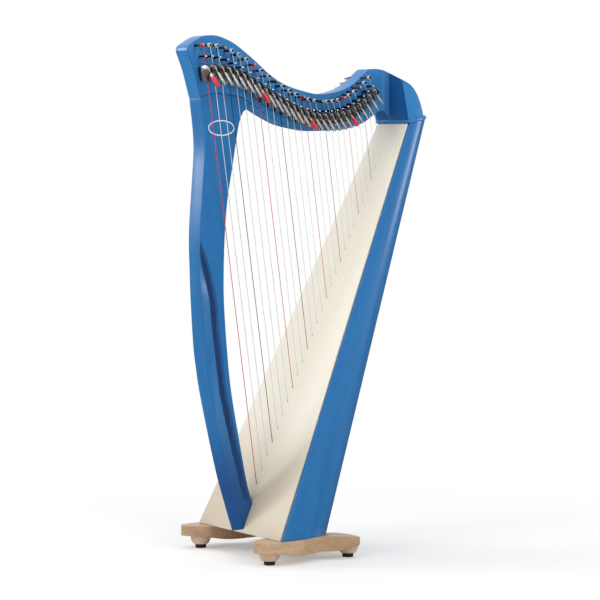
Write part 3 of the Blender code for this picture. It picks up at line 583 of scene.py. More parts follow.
def piece(name, bm, mats, place=WORLD, body="harp", angle=35.0, cad=()):
    """A finished piece from a bmesh drawn in millimetres."""
    mesh = shape_mesh(bm, name)
    mesh.transform(place)
    return finish_mesh(name, mesh, mats, body, angle, cad)


# %% [markdown]
# ## Plates, turned parts and lofts
# A workshop has a saw, a lathe and a spokeshave, and so has this script: flat outlines are extruded
# and their rims bevelled, turned parts are spun, and forms that change along their length are
# lofted by extruding a ring again and again. Modifiers could do some of it, but operators leave a
# mesh that the next step can go on with.

# %% Plates, turned parts and lofts


def rounded(bm, edges, width, segments=3, edge_material=None):
    """Bevels edges; the new faces may take the second material."""
    out = bmesh.ops.bevel(bm, geom=edges, offset=width, offset_type="OFFSET", segments=segments,
                          profile=0.5, affect="EDGES", material=-1, clamp_overlap=True)
    if edge_material is not None:
        for face in out["faces"]:
            face.material_index = edge_material


def plate(outline, low, high, rounding=0.0, segments=3, edge_material=None):
    """A flat outline made thick from low to high, its two rims rounded."""
    bm = bmesh.new()
    base = bm.faces.new([bm.verts.new((x, y, low)) for x, y in outline])
    out = bmesh.ops.extrude_face_region(bm, geom=[base])
    top = [v for v in out["geom"] if isinstance(v, bmesh.types.BMVert)]
    bmesh.ops.translate(bm, verts=top, vec=(0, 0, high - low))
    if rounding:
        rim = [e for e in bm.edges if abs(e.verts[0].co.z - e.verts[1].co.z) < 1e-6]
        rounded(bm, rim, rounding, segments, edge_material)
    return bm


def lathe(profile, steps=24):
    """A turned piece from (radius, height) pairs; points on the axis close it."""
    bm = bmesh.new()
    verts = [bm.verts.new((r, 0, z)) for r, z in profile]
    edges = [bm.edges.new(pair) for pair in zip(verts, verts[1:])]
    bmesh.ops.spin(bm, geom=verts + edges, cent=(0, 0, 0), axis=(0, 0, 1), angle=2 * math.pi,
                   steps=steps, use_merge=True)
    bmesh.ops.remove_doubles(bm, verts=bm.verts, dist=1e-4)
    return bm


def loft(rings, closed=True, ends=True):
    """A form drawn ring by ring: each ring is extruded from the last and put in its place."""
    bm = bmesh.new()
    row = [bm.verts.new(p) for p in rings[0]]
    edges = [bm.edges.new(pair) for pair in zip(row, row[1:] + row[:1] * closed)]
    if ends:
        bm.faces.new(row)
    for ring in rings[1:]:
        grown = bmesh.ops.extrude_edge_only(bm, edges=edges)["geom"]
        edges = [g for g in grown if isinstance(g, bmesh.types.BMEdge)]
        # Each new vertex is told by the old one that it grew from
        new = {g for g in grown if isinstance(g, bmesh.types.BMVert)}
        grew = {edge.other_vert(vert): vert for vert in new for edge in vert.link_edges
                if edge.other_vert(vert) not in new}
        row = [grew[old] for old in row]
        for vert, place in zip(row, ring):
            vert.co = place
    if ends:
        bm.faces.new(row)
    return bm


sample = plate([(0, 0), (1, 0), (1, 1), (0, 1)], 0, 1)
print("a square plate has", len(sample.faces), "faces")
sample.free()

# %% [markdown]
# ## Cutting, joining and copying
# Straight cuts are made with a plane. Curved ones, such as the sound holes, need an exact Boolean.
# Small parts that come back at every string are made once and gathered into one mesh, which keeps
# the list of pieces short.

# %% Cutting, joining and copying


def gather(items):
    """One bmesh out of many (mesh, matrix) pairs."""
    bm = bmesh.new()
    for mesh, matrix in items:
        moved = mesh.copy()
        moved.transform(matrix)
        bm.from_mesh(moved)
        bpy.data.meshes.remove(moved)
    return bm


def cut_away(bm, point, normal, cap=False):
    """Removes what lies on the normal's side of a plane."""
    geom = bm.verts[:] + bm.edges[:] + bm.faces[:]
    out = bmesh.ops.bisect_plane(bm, geom=geom, plane_co=point, plane_no=normal, clear_outer=True)
    if cap:
        rim = [e for e in out["geom_cut"] if isinstance(e, bmesh.types.BMEdge)]
        bmesh.ops.edgeloop_fill(bm, edges=rim)


def with_modifier(mesh, kind, **settings):
    """The mesh after one modifier."""
    obj = placed("work", mesh)
    mod = obj.modifiers.new("work", kind)
    for name, value in settings.items():
        setattr(mod, name, value)
    bpy.context.view_layer.update()
    result = bpy.data.meshes.new_from_object(obj.evaluated_get(bpy.context.evaluated_depsgraph_get()))
    bpy.data.objects.remove(obj)
    return result


def boolean(mesh, other, how="DIFFERENCE"):
    """Mesh after one exact Boolean with another mesh, both in the same units."""
    tool = placed("tool", other)
    result = with_modifier(mesh, "BOOLEAN", operation=how, solver="EXACT", object=tool)
    bpy.data.objects.remove(tool)
    return result


# %% [markdown]
# ## Shell of the soundbox
# The rounded back of a harp is bent from thin plywood, and its section goes from wide and deep at
# the foot to narrow and shallow at the top. A skin could be shaped by hand; here each section
# follows one formula between a box and an ellipse, so the surface stays fair all the way up.

# %% Sections of the shell
BOARD_HALF_LOW, BOARD_HALF_HIGH, BOARD_TOP_Z, BOARD_T = 146.7, 50.1, 835.5, 3.2
SHELL_Z, SHELL_DEPTH, SHELL_T, ROUNDNESS = (44.0, 840.0), (160.0, 57.0), 4.0, 2.5


def board_x(z):
    return BOARD_FOOT[0] + (z - BOARD_FOOT[1]) * tan_lean


def half_width(z):
    t = (z - BOARD_FOOT[1]) / (BOARD_TOP_Z - BOARD_FOOT[1])
    return BOARD_HALF_LOW + (BOARD_HALF_HIGH - BOARD_HALF_LOW) * t


def depth(z):
    t = (z - SHELL_Z[0]) / (SHELL_Z[1] - SHELL_Z[0])
    return SHELL_DEPTH[0] + (SHELL_DEPTH[1] - SHELL_DEPTH[0]) * t


def shell_section(z, steps=44, lead=6.0):
    w, d, x0 = half_width(z), depth(z), board_x(z)
    ring = [(x0 - lead, -w, z)]
    for k in range(-steps, steps + 1):
        a = math.radians(90.0 * k / steps)
        s, c = math.sin(a), max(math.cos(a), 0.0)
        ring.append((x0 + d * c ** (2 / ROUNDNESS), w * math.copysign(abs(s) ** (2 / ROUNDNESS), s), z))
    ring.append((x0 - lead, w, z))
    return ring


print("section at the foot:", len(shell_section(SHELL_Z[0])), "points")

# %% [markdown]
# ## Sound holes and the finished shell
# The strings are put in through four holes in the back. The sections are lofted into a sheet,
# Solidify gives it the plywood's thickness, planes trim it to the bottom board, the cap and the
# soundboard, and plates with round ends cut the holes out, square to the back.

# %% Shell and its sound holes
BOX_BOTTOM = 45.3
SOUND_HOLES = ((170, 112, 62), (330, 102, 56), (490, 90, 50), (640, 78, 44))    # height, length, width
SHEET_Z, SHEET_ROWS, CUTTER_REACH = (30, 880), 16, 25
CAP_FRONT_X, CAP_UNDER_Z, CAP_RISE = 206.0, 832.5, 0.1458


def sound_hole_cutters():
    """Plates of the holes' outline, square to the back."""
    back_lean = math.atan(tan_lean + (SHELL_DEPTH[1] - SHELL_DEPTH[0]) / (SHELL_Z[1] - SHELL_Z[0]))
    up_back = Vector((math.sin(back_lean), 0, math.cos(back_lean)))
    out_back = Vector((math.cos(back_lean), 0, -math.sin(back_lean)))
    holes = []
    for z, height, width in SOUND_HOLES:
        straight, r = (height - width) / 2, width / 2
        outline = []
        for end in (1, -1):
            for k in range(19):
                a = math.radians(-90 + 180 * k / 18 + (0 if end > 0 else 180))
                outline.append((end * straight + r * math.cos(a), r * math.sin(a)))
        m = placing(up_back, out_back.cross(up_back), out_back, Vector((board_x(z) + depth(z), 0, z)))
        holes.append((shape_mesh(plate(outline, -CUTTER_REACH, CUTTER_REACH)), m))
    return shape_mesh(gather(holes))


def make_shell():
    low, high = SHEET_Z
    levels = [low + (high - low) * k / SHEET_ROWS for k in range(SHEET_ROWS + 1)]
    sheet = shape_mesh(loft([shell_section(z) for z in levels], closed=False, ends=False))
    bm = bmesh.new()
    bm.from_mesh(with_modifier(sheet, "SOLIDIFY", thickness=SHELL_T, offset=-1.0))
    cut_away(bm, (0, 0, BOX_BOTTOM), (0, 0, -1), cap=True)
    cut_away(bm, (CAP_FRONT_X, 0, CAP_UNDER_Z - 0.3), (-CAP_RISE, 0, 1), cap=True)
    cut_away(bm, Vector((BOARD_FOOT[0], 0, BOARD_FOOT[1])) - front * (BOARD_T + 0.08), front, cap=True)
    solid = boolean(shape_mesh(bm), sound_hole_cutters())
    solid.transform(WORLD)
    return finish_mesh("soundbox_back", solid, blue_shell, angle=30, cad=("soundbox_shell",))


shell = make_shell()
print("shell faces:", len(shell.data.polygons))

# %% [markdown]
# ## Soundboard and string eyelets
# The soundboard is a thin tapered plate of very pale spruce, laid on the rim of the shell. Small
# pale eyelets guard the holes that the strings come through. The board is extruded from its
# outline and its rims are eased; one eyelet is turned and copied to every string.

# %% Soundboard and string eyelets
STRINGS = 27
FOOT_FIRST = (-112.5, 136.5)
FOOT_PITCH, FOOT_CLOSING = 29.28, 0.10
STRING_LEAN, STRING_SWEEP = 9.8, 3.05
STRING_R_BASS, STRING_R_TREBLE = 0.70, 0.33
BOARD_LENGTH = (BOARD_TOP_Z - BOARD_FOOT[1]) / cos_lean
lean_x = -math.tan(math.radians(STRING_LEAN))
lean_y = -math.tan(math.radians(STRING_SWEEP))


def cap_under(x):
    return CAP_UNDER_Z + (x - CAP_FRONT_X) * CAP_RISE


def string_foot(i):
    run = FOOT_PITCH * i - FOOT_CLOSING * i * i
    return Vector((FOOT_FIRST[0] + run * sin_lean, 0, FOOT_FIRST[1] + run * cos_lean))


def string_point(i, z):
    foot = string_foot(i)
    return foot + Vector((lean_x, lean_y, 1)) * (z - foot.z)


def string_radius(i):
    return STRING_R_BASS + (STRING_R_TREBLE - STRING_R_BASS) * i / (STRINGS - 1)


def make_soundboard():
    def half(s):
        return BOARD_HALF_LOW + (BOARD_HALF_HIGH - BOARD_HALF_LOW) * s / BOARD_LENGTH

    low = (BOX_BOTTOM - BOARD_FOOT[1]) / cos_lean + 0.6
    high = (cap_under(board_x(cap_under(208))) - BOARD_FOOT[1]) / cos_lean - 1.0
    rows = 12
    marks = [low + (high - low) * k / rows for k in range(rows + 1)]
    outline = [(s, -half(s)) for s in marks] + [(s, half(s)) for s in marks[::-1]]
    return piece("spruce_board", plate(outline, -BOARD_T, 0.0, 0.8), spruce, BOARD, cad=("soundboard",))


def make_eyelets():
    profile = [(1.1, 0.1), (1.2, 0.45), (1.6, 0.5), (1.9, 0.35), (2.1, 0.05), (1.1, 0.0), (1.1, 0.1)]
    ring = shape_mesh(lathe(profile, 20))
    items = []
    for i in range(STRINGS):
        m = placing(along, front.cross(along), front, string_foot(i))
        items.append((ring, m @ Matrix.Scale(0.7 + 0.4 * string_radius(i) / STRING_R_BASS, 4)))
    return piece("string_eyelets", gather(items), eyelet)


board = make_soundboard()
make_eyelets()
print("soundboard", [round(d * 1000) for d in board.dimensions], "mm, eyelets:", STRINGS)

# %% [markdown]
# ## Cap plate
# A thin plate closes the top of the soundbox and carries the neck's shoulder. Its edge is rounded
# all round, so it is a D-shaped outline with a wide bevel.

# %% Cap plate
CAP_T, CAP_HALF, CAP_DEPTH = 7.0, 58.0, 72.0


def make_cap():
    lean = math.atan(CAP_RISE)
    axis = Vector((math.cos(lean), 0, math.sin(lean)))
    up = Vector((-math.sin(lean), 0, math.cos(lean)))
    place = basis(axis, up.cross(axis), up, (CAP_FRONT_X, 0, CAP_UNDER_Z))
    length = CAP_DEPTH / math.cos(lean)
    outline = [(0, -CAP_HALF + 2), (2, -CAP_HALF)]
    for k in range(1, 72):
        a = math.radians(-90 + 180 * k / 72)
        outline.append((2 + (length - 2) * math.cos(a) ** 0.9, CAP_HALF * math.sin(a)))
    outline += [(2, CAP_HALF), (0, CAP_HALF - 2)]
    return piece("cap", plate(outline, 0.0, CAP_T, 2.4, 5), blue_neck_painted_lighter, place, cad=("cap_plate",))


cap = make_cap()
print("cap", [round(d * 1000) for d in cap.dimensions], "mm")

# %% [markdown]
# ## Neck plate
# The neck is sawn from a thick plate of maple. Its lower left edge is the arched seam with the
# column. The outline is drawn with splines and extruded; the arrises are rounded and take a
# darker blue as painted shade.

# %% Neck plate
NECK_HALF = 19.0
SEAM = [(-50, 878), (-35, 884), (-8, 887), (21, 884), (45, 880), (73, 867)]


def neck_outline():
    front_edge = curve_through([(-50, 878), (-56, 898), (-66, 930), (-77, 956), (-81, 966)])
    top = curve_through([(-81, 966), (-79, 973), (-70, 980), (-47, 992), (-29, 995.5), (-6, 994),
                         (26, 983), (53, 967), (81, 948), (113, 925), (145, 908), (185, 896),
                         (238, 888), (290, 896), (319, 908), (345, 926), (362, 939)])
    end = curve_through([(362, 939), (381, 940), (401, 937), (416, 931)])
    under = curve_through([(416, 838), (408, 851), (400, 857), (377, 851), (356, 838), (333, 829),
                           (293, 820), (241, 817), (215, 817.5), (182, 822.5), (150, 829),
                           (123, 839.5), (102, 849), (85, 858), (73, 867)])
    seam = curve_through(SEAM[::-1])
    return front_edge + top[1:] + end[1:] + under + seam[1:-1]


neck_plate = piece("neck_plate", plate(neck_outline(), -NECK_HALF, NECK_HALF, 1.6, 3, 1),
                   (blue_neck_painted_lighter, blue_darkest_painted_shade), NECK, cad=("neck",))
print("neck", [round(d * 1000) for d in neck_plate.dimensions], "mm")

# %% [markdown]
# ## Shoulder over the soundbox
# Where the neck meets the soundbox it flares to the near side in a cove and gets a rounded back
# that falls toward the player. Two lofts are crossed for it, the plan of the flare going up and
# the side view of the fall going across, and an exact Boolean keeps what both hold.

# %% Shoulder over the soundbox
COVE_FROM, COVE_R, COVE_TURN = 385.0, 34.0, 40.0
FLARE_NEAR, FLARE_FAR, FLARE_TAPER = -56.0, 56.0, 20 / 73
BACK_X, SHOULDER_LOW = 273.0, 843.0
RIDGE_NEAR, RIDGE_FAR = -50.0, 14.0
FALL_NEAR = [(200, 915), (212, 911), (224, 905), (236, 892), (246, 870), (253, 843), (255, 820)]
FALL_FAR = [(203, 934), (213, 931), (238, 914), (256, 887), (266, 862), (272, 840), (275, 820)]
FALL_UNDER = [(206, 820), (205, 843), (197, 857), (140, 862)]


def shoulder_ring(z):
    """Plan of the shoulder at one height: cove, flat flare, rounded back, end inside the neck."""
    ring = []
    for k in range(13):
        a = math.radians(COVE_TURN * k / 12)
        ring.append(to_world(COVE_FROM + COVE_R * math.sin(a), z, NECK_HALF + COVE_R * (1 - math.cos(a))))
    edge_near = FLARE_NEAR + (z - SHOULDER_LOW) * FLARE_TAPER
    middle, half = (FLARE_FAR + edge_near) / 2, (FLARE_FAR - edge_near) / 2
    front_x = CAP_FRONT_X + 1
    ring.append((CAP_FRONT_X, edge_near, z))
    for k in range(1, 60):
        a = math.radians(-90 + 180 * k / 60)
        ring.append((front_x + (BACK_X - front_x) * math.cos(a) ** 0.9, middle + half * math.sin(a), z))
    ring.append((CAP_FRONT_X, FLARE_FAR, z))
    return ring + [to_world(COVE_FROM, z, -NECK_HALF + 3), to_world(COVE_FROM - 7, z, NECK_HALF - 8)]


def fall_ring(y):
    """Side view of the falling top, low along the near edge and full height from the neck on."""
    near_side = curve_through(FALL_NEAR, 5) + FALL_UNDER + [(140, 920)]
    far_side = curve_through(FALL_FAR, 5) + FALL_UNDER + [(140, 938)]
    t = min((y - RIDGE_NEAR) / (RIDGE_FAR - RIDGE_NEAR), 1.0)
    return [(a[0] + (b[0] - a[0]) * t, y, a[1] + (b[1] - a[1]) * t) for a, b in zip(near_side, far_side)]


def make_shoulder():
    flare = shape_mesh(loft([shoulder_ring(z) for z in (812, 952)]))
    fall = shape_mesh(loft([fall_ring(y) for y in (-70, -30, RIDGE_FAR - 8, RIDGE_FAR, RIDGE_FAR + 8, 70)]))
    bm = bmesh.new()
    bm.from_mesh(boolean(flare, fall, "INTERSECT"))
    lift = CAP_T * math.sqrt(1 + CAP_RISE ** 2) + 0.3
    cut_away(bm, (CAP_FRONT_X, 0, CAP_UNDER_Z + lift), (CAP_RISE, 0, -1), cap=True)
    bmesh.ops.dissolve_degenerate(bm, dist=0.05, edges=bm.edges)
    bmesh.ops.recalc_face_normals(bm, faces=bm.faces)
    # Faces that turn to the front take darker blues, the mid-dark one where they face it most: painted shade on
    # the flare and in the crease
    for face in bm.faces:
        face.material_index = 1 if face.normal.x < -0.62 else 2 if face.normal.x < -0.30 else 0
    return piece("neck_shoulder", bm, (blue_neck_painted_lighter, blue_mid_painted_shade, blue_column), angle=32)


shoulder = make_shoulder()
print("shoulder", [round(d * 1000) for d in shoulder.dimensions], "mm")

# %% [markdown]
# ## Column
# A maker saws the fore-pillar in side view and then scoops the front of both faces, so that it
# looks light. Rings of points climb from the soundboard to the seam and are extruded into one
# another; the depth of a face at each point is a small formula. Lofting suits the scoop because
# it runs out slowly, which a Boolean cut could not do.

# %% Column
COLUMN_FRONT = curve_through([(-50, 876), (-44, 832), (-41, 799), (-41, 767), (-46, 704), (-51, 640),
                              (-52, 594), (-51, 558), (-49, 500), (-43, 412), (-37, 368), (-29, 323),
                              (-10, 243), (12, 160), (28, 111), (56, 30)])
COLUMN_INNER = curve_through([(73, 866), (60, 859), (53, 855), (46, 844), (38, 819), (24, 744),
                              (13, 685), (7, 625), (4, 560), (4, 495), (10, 411), (20, 323),
                              (38, 231), (57, 143), (71, 97), (88, 30)])
SCOOP_LINE = curve_through([(-62, 622), (-43, 580), (-28, 534), (-19, 496), (-15, 460), (-8, 406),
                            (4, 324), (14, 281), (30, 215), (44, 160), (58, 110), (70, 72)])
COLUMN_HALF, SCOOP_DEPTH, SCOOP_WALL, WALL_LEFT = 18.0, 6.2, 15.0, 7
SEAM_GAP, ARRIS = 0.5, 1.8
COLUMN_ROWS = 110
front_at, inner_at, scoop_at = (turned_line(line) for line in (COLUMN_FRONT, COLUMN_INNER, SCOOP_LINE))
seam_at = curve_through(SEAM)


def scoop_sunk(z):
    return SCOOP_DEPTH * ease((628 - z) / 95) * ease((z - 60) / 220)


def wall_share(u, z):
    """0 at the foot of the scoop's wall, 1 on the ridge."""
    return (u - height_on(scoop_at, z) + WALL_LEFT) / SCOOP_WALL


def face_out(u, z, left):
    """How far a face stands from the column's middle: the hollow rises again to the front arris."""
    rise = min(max((u - left) / max(height_on(scoop_at, z) - WALL_LEFT - left, 4.0), 0.0), 1.0)
    return COLUMN_HALF - scoop_sunk(z) * (1 - ease(wall_share(u, z))) * (0.15 + 0.85 * rise)


def foot_height(u, out):
    """Height where the column lands on the soundboard."""
    x = to_world(u, 0, out).x
    return BOARD_FOOT[1] + (x - BOARD_FOOT[0] + 0.33) / tan_lean


def foot_of(line):
    """Where an edge line of the column meets the board."""
    z = 60.0
    for _ in range(60):
        z = 0.7 * z + 0.3 * foot_height(height_on(line, z), 0)
    return z


def column_height(share, t, ends, out):
    """Height of the ring at a share of the column's width: level rings that end on board and seam."""
    low_left, low_right = height_on(front_at, ends[0][0]), height_on(inner_at, ends[1][0])
    low = foot_height(low_left + (low_right - low_left) * share, out)
    top = height_on(seam_at, SEAM[0][0] + (SEAM[-1][0] - SEAM[0][0]) * share) - SEAM_GAP
    return low * (1 - t) + top * t


def column_ring(t, ends):
    """Points around the column at one share of its height; some columns follow the scoop's wall."""
    z_front, z_inner = (low + (high - low) * t for low, high in ends)
    left, right = height_on(front_at, z_front), height_on(inner_at, z_inner)
    wall_foot = left
    for _ in range(4):
        z = column_height((wall_foot - left) / (right - left), t, ends, 0)
        wall_foot = height_on(scoop_at, z) - WALL_LEFT
        wall_foot = min(max(wall_foot, left + 4), right - 22)
    marks = (left, left + 3, wall_foot, wall_foot + SCOOP_WALL, right - 3, right)
    places = [left]
    for (low, high), count in zip(zip(marks, marks[1:]), (1, 10, 12, 16, 1)):
        places += [low + (high - low) * k / count for k in range(1, count + 1)]
    near_row, far_row = [], []
    for u in places:
        for side, row in ((1, near_row), (-1, far_row)):
            z = column_height((u - left) / (right - left), t, ends, side * COLUMN_HALF)
            row.append((u, z, side * face_out(u, z, left)))
    return near_row + far_row[::-1]


def make_column():
    ends = ((foot_of(front_at), SEAM[0][1] - SEAM_GAP), (foot_of(inner_at), SEAM[-1][1] - SEAM_GAP))
    bm = loft([column_ring(k / COLUMN_ROWS, ends) for k in range(COLUMN_ROWS + 1)], ends=False)
    for low in (True, False):
        rim = [e for e in bm.edges if e.is_boundary and (e.verts[0].co.y < 400) == low]
        across = [e for e in rim if e.calc_length() < 20]
        bmesh.ops.bridge_loops(bm, edges=across)
    bmesh.ops.recalc_face_normals(bm, faces=bm.faces)
    rim = [e for e in bm.edges if len(e.link_faces) == 2 and e.calc_face_angle() > math.radians(40)]
    # The rounded arrises take the darkest blue, a painted shade
    rounded(bm, rim, ARRIS, 3, 1)
    # Faces on the scoop's wall take the darkest blue near its foot and the mid-dark blue above: painted shade in
    # the hollow
    for face in bm.faces:
        u, z, out = face.calc_center_median()
        if face.material_index == 0 and abs(out) > 11 and scoop_sunk(z) > 0.8:
            share = wall_share(u, z)
            face.material_index = 1 if -0.02 < share < 0.58 else 2 if 0.0 < share < 0.92 else 0
    return piece("column_wood", bm, (blue_column, blue_darkest_painted_shade, blue_mid_painted_shade), NECK, cad=("column",))


column = make_column()
print("column", [round(d * 1000) for d in column.dimensions], "mm, faces:", len(column.data.polygons))

# %% [markdown]
# ## Plain oval on the column
# The photographed harp has an oval badge with lettering there. A library part carries no name, so
# only the bare ring is inlaid: an oval line is extruded up, across and down again.

# %% Oval inlay
OVAL_AT, OVAL_HALF, OVAL_LINE = (-1.2, 821.6), (31.2, 15.0), 2.4


def oval_ring(shrink, out):
    half_u, half_z = OVAL_HALF[0] - shrink, OVAL_HALF[1] - shrink
    turns = [2 * math.pi * k / 96 for k in range(96)]
    return [(OVAL_AT[0] + half_u * math.cos(a), OVAL_AT[1] + half_z * math.sin(a), COLUMN_HALF + out)
            for a in turns]


def make_oval():
    steps = ((0, 0.02), (0.1, 0.2), (OVAL_LINE - 0.1, 0.2), (OVAL_LINE, 0.02))
    rings = [oval_ring(shrink, out) for shrink, out in steps]
    return piece("oval_inlay", loft(rings, ends=False), inlay_white, NECK)


make_oval()
print("oval ring", OVAL_HALF, "mm half axes")

# %% [markdown]
# ## Where each string passes the neck
# The bridge pins follow one swung line on the neck. A string rises from its eyelet with a fixed
# lean, so its place on the neck is where that rise crosses the line. The tuning pins stand above
# their bridge pins, a little to the column's side.

# %% Bridge line and tuning pins
BRIDGE_LINE = curve_through([(-75, 953), (-55, 955), (-22, 954), (12, 944), (46, 928), (83, 906),
                             (118, 886), (150, 871), (181, 860), (213, 855), (243, 855),
                             (271, 859), (298, 867), (326, 883), (351, 903), (372, 922)], 4)
TUNING_UP, TUNING_LEFT, TUNING_DRIFT, TUNING_ARCH, TUNING_ARCH_END = 20.5, 7.5, 3.5, 6.5, 19
BRIDGE_R = 2.0


def bridge_point(i):
    z = 900.0
    for _ in range(30):
        z = 0.5 * (z + height_on(BRIDGE_LINE, to_neck(string_point(i, z))[0]))
    return to_neck(string_point(i, z))


def bridge_pin_centre(i):
    u, z, _ = bridge_point(i)
    return u + BRIDGE_R + string_radius(i) + 0.1, z


def tuning_pin_centre(i):
    u, z, _ = bridge_point(i)
    drift = TUNING_DRIFT * i / (STRINGS - 1)
    arch = TUNING_ARCH * max(math.sin(math.pi * min(i / TUNING_ARCH_END, 1.0)), 0.0) ** 1.5
    return u - TUNING_LEFT - drift, z + TUNING_UP - drift + arch


def neck_place(u, z):
    """Millimetre placing on the neck plane for parts that are gathered before they are scaled."""
    return placing(u_axis, Vector((0, 0, 1)), near, to_world(u, z, 0))


for i in (0, 13, 26):
    print("string", i + 1, "bridge pin at", [round(c) for c in bridge_pin_centre(i)])

# %% [markdown]
# ## Tuning pins and bridge pins
# Tuning pins are tapered blued steel; they pass through the neck and end in a square for the
# tuning key on the far side. Bridge pins have a groove that the string lies in. All are turned
# once and copied, and only their ends are bright; the bright cap on the near end of the C and F
# tuning pins is a painted highlight.

# %% Tuning and bridge pins
TUNING_R, TUNING_OUT = 2.5, 28.0
BRIDGE_OUT, GROOVE_OUT = 21.6, 19.6


def make_pins():
    face = NECK_HALF
    end = face + TUNING_OUT
    shaft = shape_mesh(lathe([(0, end - 0.3), (TUNING_R - 0.9, end - 0.3), (TUNING_R - 0.3, end - 0.9),
                              (TUNING_R, face - 4), (0, face - 4)], 20))
    painted_highlight_cap = shape_mesh(lathe([(0, end), (TUNING_R - 0.6, end), (TUNING_R - 0.1, end - 0.5),
                              (TUNING_R, end - 1.1), (0, end - 1.1)], 20))
    tail = shape_mesh(lathe([(0, -face + 4), (TUNING_R, -face + 4), (TUNING_R, -face - 3),
                             (TUNING_R - 0.4, -face - 3.6), (0, -face - 3.6)], 18))
    square = bmesh.new()
    bmesh.ops.create_cone(square, cap_ends=True, segments=4, radius1=2.2, radius2=2.45, depth=11.0)
    bmesh.ops.translate(square, verts=square.verts, vec=(0, 0, -face - 8.6))
    square = shape_mesh(square)
    groove, bridge_end = face + GROOVE_OUT, face + BRIDGE_OUT
    bridge = shape_mesh(lathe([(0, bridge_end - 0.7), (BRIDGE_R, bridge_end - 0.7), (BRIDGE_R - 0.35, groove),
                               (BRIDGE_R, groove - 1.2), (BRIDGE_R, face - 3), (0, face - 3)], 18))
    tip = shape_mesh(lathe([(0, bridge_end), (BRIDGE_R - 0.7, bridge_end), (BRIDGE_R - 0.1, bridge_end - 0.4),
                            (BRIDGE_R, bridge_end - 0.8), (0, bridge_end - 0.8)], 18))
    dark, bright = [], []
    for i in range(STRINGS):
        place = neck_place(*tuning_pin_centre(i))
        dark += [(shaft, place), (tail, place)]
        bright.append((square, place))
        # The near ends of the C and F pins get a bright cap: painted highlight
        if i % 7 in (0, 3):
            bright.append((painted_highlight_cap, place))
        place = neck_place(*bridge_pin_centre(i))
        dark.append((bridge, place))
        bright.append((tip, place))
    piece("pin_shafts", gather(dark), black_steel)
    piece("pin_ends", gather(bright), bright_metal)


make_pins()
print("tuning pins and bridge pins:", 2 * STRINGS)

# %% [markdown]
# ## Strings
# A string runs from its knot behind the soundboard through the eyelet, straight to the bridge pin
# and on to the tuning pin, which it wraps toward the pin's end, thin strings more often than
# thick ones. A small ring is extruded from place to place along that route. The three colours
# become three pieces.

# %% Strings
COIL_LENGTH, PER_TURN = 6.8, 14
KNOT_DEEP, BEND, RUNS = 14.5, 1.5, 8


def string_route(i):
    foot = string_foot(i)
    r = string_radius(i)
    u, z, out = bridge_point(i)
    pin_u, pin_z = tuning_pin_centre(i)
    wrap = TUNING_R + r
    # From the knot behind the rib through the board, then leaning off toward the bridge pin
    route = [foot + front * step for step in (-KNOT_DEEP, -6, -1.0, 0.2)]
    route.append(string_point(i, foot.z + BEND))
    for k in range(1, RUNS + 1):
        route.append(string_point(i, foot.z + (z - BEND - foot.z) * k / RUNS))
    route.append(to_world(u, z, out))
    pitch = 2 * r + 0.1
    for k in range(int(COIL_LENGTH / pitch * PER_TURN) + 1):
        a = 2 * math.pi * k / PER_TURN
        route.append(to_world(pin_u + wrap * math.cos(a), pin_z + wrap * math.sin(a),
                              out + pitch * k / PER_TURN))
    return route


def cord_rings(points, radius, sides=8):
    """Rings of a round cord that doesn't twist on its way."""
    rings = []
    side = None
    turns = [2 * math.pi * k / sides for k in range(sides)]
    for i, p in enumerate(points):
        run = (points[min(i + 1, len(points) - 1)] - points[max(i - 1, 0)]).normalized()
        side = run.orthogonal() if side is None else side
        side = (side - run * side.dot(run)).normalized()
        other = run.cross(side)
        rings.append([p + (side * math.cos(a) + other * math.sin(a)) * radius for a in turns])
    return rings


def make_strings():
    groups = {"c_strings": [], "f_strings": [], "natural_strings": []}
    for i in range(STRINGS):
        name = {0: "c_strings", 3: "f_strings"}.get(i % 7, "natural_strings")
        cord = shape_mesh(loft(cord_rings(string_route(i), string_radius(i))))
        groups[name].append((cord, Matrix()))
    for (name, cords), mat in zip(groups.items(), (nylon_red, nylon_dark, nylon_clear)):
        solid = ("strings",) if name == "c_strings" else ()
        piece(name, gather(cords), mat, angle=60, cad=solid)


make_strings()
print("strings:", STRINGS, "with", round(COIL_LENGTH / (2 * string_radius(0) + 0.1), 1), "turns on the first pin")

# %% [markdown]
# ## Levers
# A sharping lever raises its string by a half tone: the handle is flipped up and a cam shortens
# the string. Every lever turns in its own bracket and is a body of its own, so each is modelled
# about its hinge at the string's place. Handles of the C strings wear a red sleeve.

# %% Levers
LEVER_SHRINK, PIVOT_ABOVE_STRING = 0.20, 6.4
DROP, DROP_BASS, DROP_STRINGS = 10.0, 14.0, 11    # below the bridge pin, and more for the bass strings
REST_ANGLE = 54.0
REST = math.radians(REST_ANGLE)
SIDE_ON = Matrix(((0, 0, 1, 0), (1, 0, 0, 0), (0, 1, 0, 0), (0, 0, 0, 1)))    # stands a plate on its edge


def lever_place(i):
    """Millimetre placing at a lever's pivot: x the hinge axis, y up the string, z out."""
    z_top = bridge_point(i)[1]
    drop = DROP + DROP_BASS * max(0.0, 1.0 - i / DROP_STRINGS)
    u, z, out = to_neck(string_point(i, z_top - drop))
    run = Vector((lean_x, lean_y, 1)).normalized()
    up = (run - near * run.dot(near)).normalized()
    m = placing(up.cross(near), up, near, to_world(u, z, out + PIVOT_ABOVE_STRING))
    return m, out + PIVOT_ABOVE_STRING - NECK_HALF


def lever_size(i):
    return 1.0 - LEVER_SHRINK * i / (STRINGS - 1)


def along_handle(run, off):
    return (-run * math.sin(REST) + off * math.cos(REST), run * math.cos(REST) + off * math.sin(REST))


